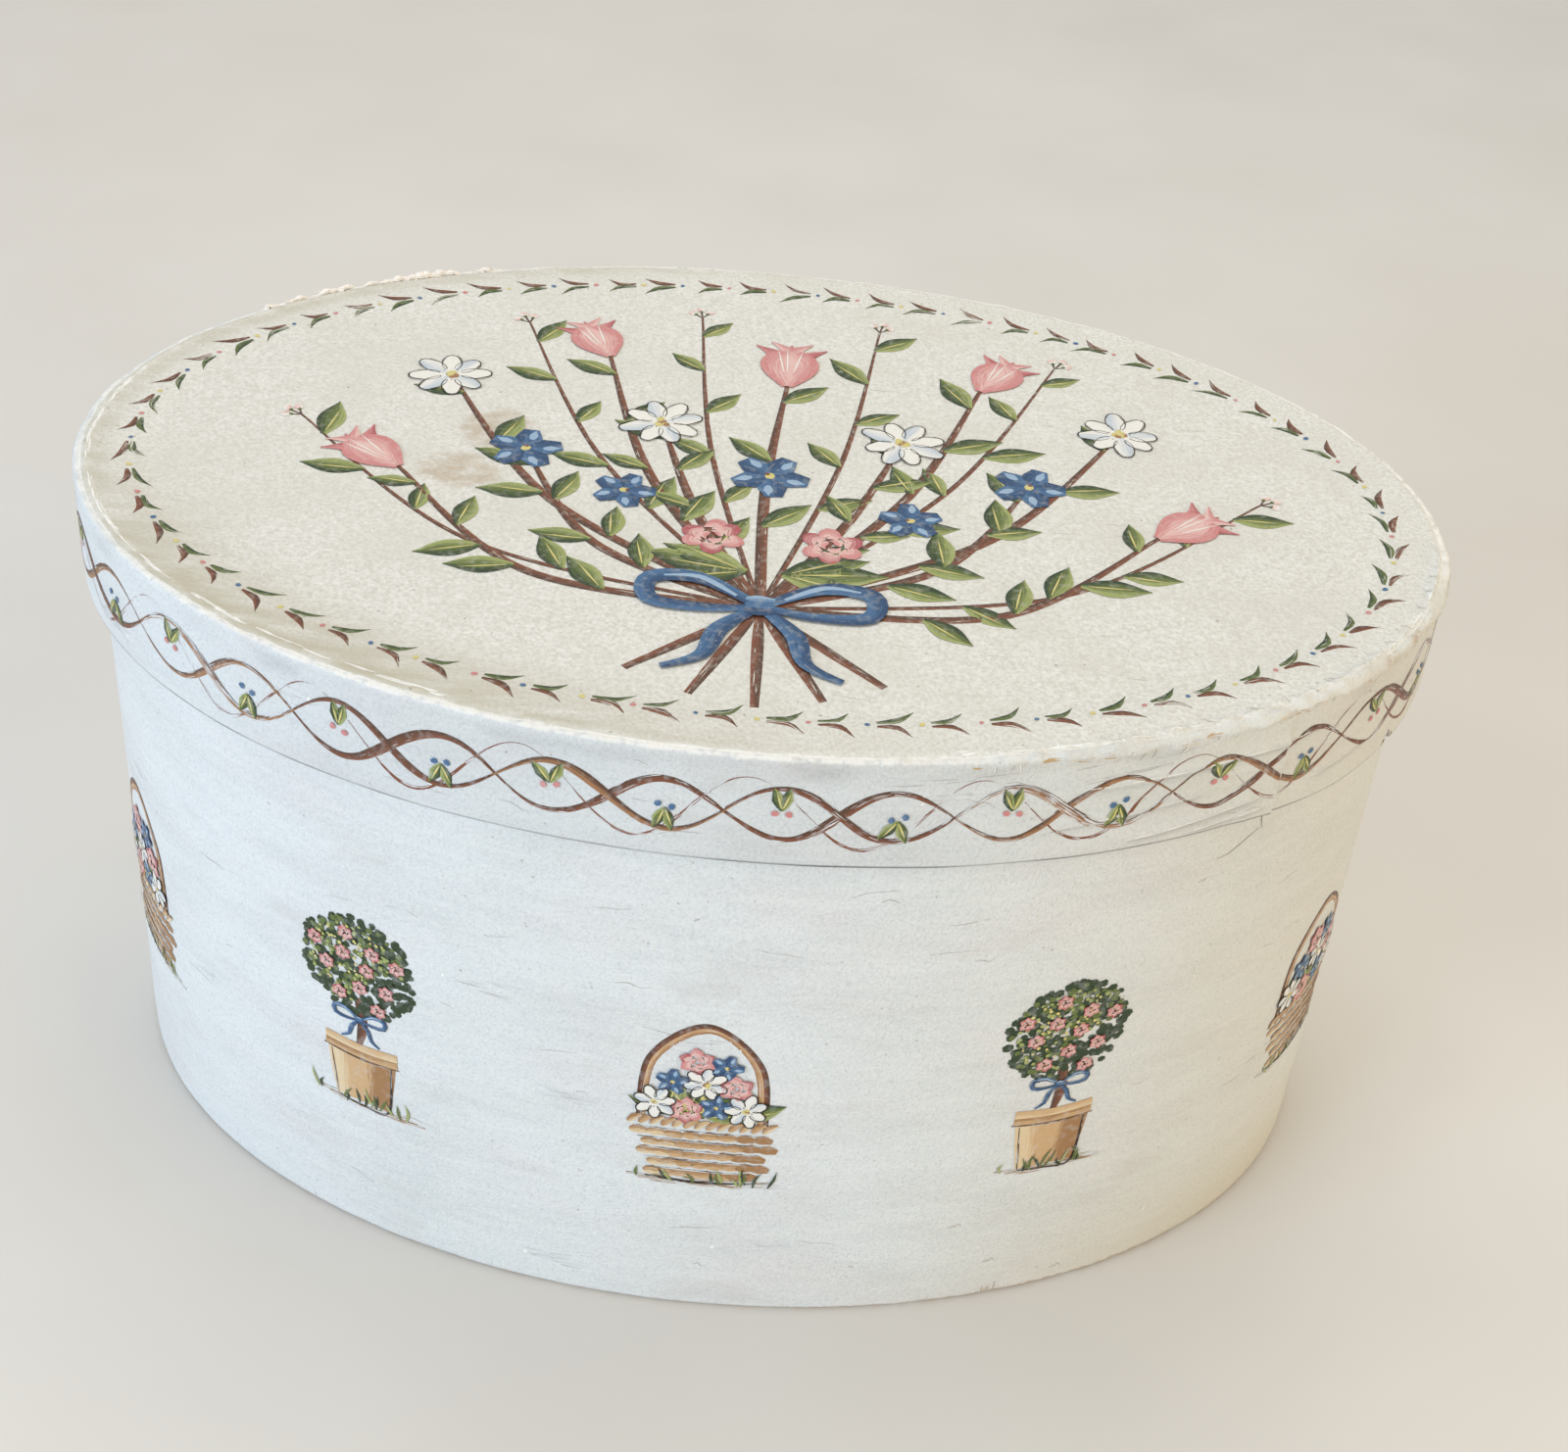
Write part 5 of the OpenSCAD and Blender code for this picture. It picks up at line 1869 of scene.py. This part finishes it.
def make_torn_edge():
    """The torn stretch of the lid's edge, as one piece."""
    half = (LID_HALF[0] - TORN_INSET, LID_HALF[1] - TORN_INSET)
    whole = oval_run(half)
    settings = {"Oval Half Length": half[0] * MM, "Oval Half Width": half[1] * MM, "Height": LID_HIGH.z * MM,
                "Start": oval_run(half, 0.0, TORN[0]) / whole, "End": oval_run(half, 0.0, TORN[1]) / whole,
                "Lip Points": LIP_POINTS, "Lip Size": LIP_SIZE * MM, "Lip Grain": 1.0 / (LIP_GRAIN * MM),
                "Count": SLIVER_COUNT, "Scatter": SLIVER_SCATTER * MM, "Sliver Length": SLIVER_LENGTH * MM,
                "Sliver Width": SLIVER_WIDTH * MM, "Seed": SLIVER_SEED, "Paper": TORN_PAPER}
    mesh = run_tree(new_plan("torn_edge_plan", [], []), torn_edge_tree(), settings)
    return finish_piece("lid_torn_edge", mesh, "lid")


make_torn_edge()


# Floor, light and camera

# How far the floor reaches to each side, in metres
FLOOR_REACH = 8.0

# Cool daylight from the left, a warm fill from the right and a soft light over the lid: place and size in
# metres, watts and colour
LAMPS = (("window_left", (-0.84, -0.80, 0.42), 0.8, 7.8, "#D5E8FF"),
         ("fill_right", (0.85, -0.50, 0.50), 0.9, 3.4, "#FFE3B2"),
         ("over_lid", (-0.05, 0.3, 1.1), 0.8, 3.9, "#FFFBF2"))
LAMP_AIM = (0.0, 0.0, 0.06)

# The plain white room round them
ROOM_COLOUR = "#FFFFFF"
ROOM_STRENGTH = 0.5


def make_floor():
    """A plain floor under the box, which isn't part of it."""
    mesh = bpy.data.meshes.new("floor")
    corners = [(x * FLOOR_REACH, y * FLOOR_REACH, 0.0) for x, y in ((-1, -1), (1, -1), (1, 1), (-1, 1))]
    mesh.from_pydata(corners, [], [(0, 1, 2, 3)])
    mesh.materials.append(pale_floor())
    floor = bpy.data.objects.new("floor", mesh)
    bpy.context.scene.collection.objects.link(floor)


def light_the_scene():
    """The lamps and the room."""
    for name, place, size, watts, hex_colour in LAMPS:
        lamp = bpy.data.lights.new(name, "AREA")
        lamp.shape = "DISK"
        lamp.size = size
        lamp.energy = watts
        lamp.color = linear(hex_colour)[:3]
        holder = bpy.data.objects.new(name, lamp)
        holder.location = place
        holder.rotation_euler = (Vector(place) - Vector(LAMP_AIM)).to_track_quat("Z", "Y").to_euler()
        bpy.context.scene.collection.objects.link(holder)
    world = bpy.data.worlds.new("soft_room")
    world.use_nodes = True
    sky = world.node_tree.nodes["Background"]
    sky.inputs["Color"].default_value = linear(ROOM_COLOUR)
    sky.inputs["Strength"].default_value = ROOM_STRENGTH
    bpy.context.scene.world = world


# The camera, found by matching the outlines of the lid and the base, with its aim and distance in
# millimetres, its angles in degrees and its near limit in metres
PHOTO_WIDTH = 1600
FOCAL_PIXELS = 2400
SENSOR_MM = 36.0
CAMERA_AIM = (7.1, 0.0, 71.5)
CAMERA_DISTANCE = 427.9
CAMERA_AZIMUTH = 0.419
CAMERA_ELEVATION = 36.607
CAMERA_ROLL = 5.111
CLIP_START = 0.01


def make_camera():
    """A camera that sees the box as the photograph does."""
    azimuth, elevation, roll = (math.radians(a) for a in (CAMERA_AZIMUTH, CAMERA_ELEVATION, CAMERA_ROLL))
    reach = math.cos(elevation)
    back = Vector((math.sin(azimuth) * reach, -math.cos(azimuth) * reach, math.sin(elevation)))
    level = Vector((math.cos(azimuth), math.sin(azimuth), 0.0))
    upright = back.cross(level)
    right = math.cos(roll) * level + math.sin(roll) * upright
    up = math.cos(roll) * upright - math.sin(roll) * level
    data = bpy.data.cameras.new("photo_view")
    data.sensor_width = SENSOR_MM
    data.lens = FOCAL_PIXELS / PHOTO_WIDTH * SENSOR_MM
    data.clip_start = CLIP_START
    camera = bpy.data.objects.new("photo_view", data)
    turn = Matrix((right, up, back)).transposed().to_4x4()
    camera.matrix_world = Matrix.Translation((Vector(CAMERA_AIM) + back * CAMERA_DISTANCE) * MM) @ turn
    bpy.context.scene.collection.objects.link(camera)
    bpy.context.scene.camera = camera


make_floor()
light_the_scene()
make_camera()
bpy.context.scene.view_settings.view_transform = "Standard"

bpy.context.view_layer.update()
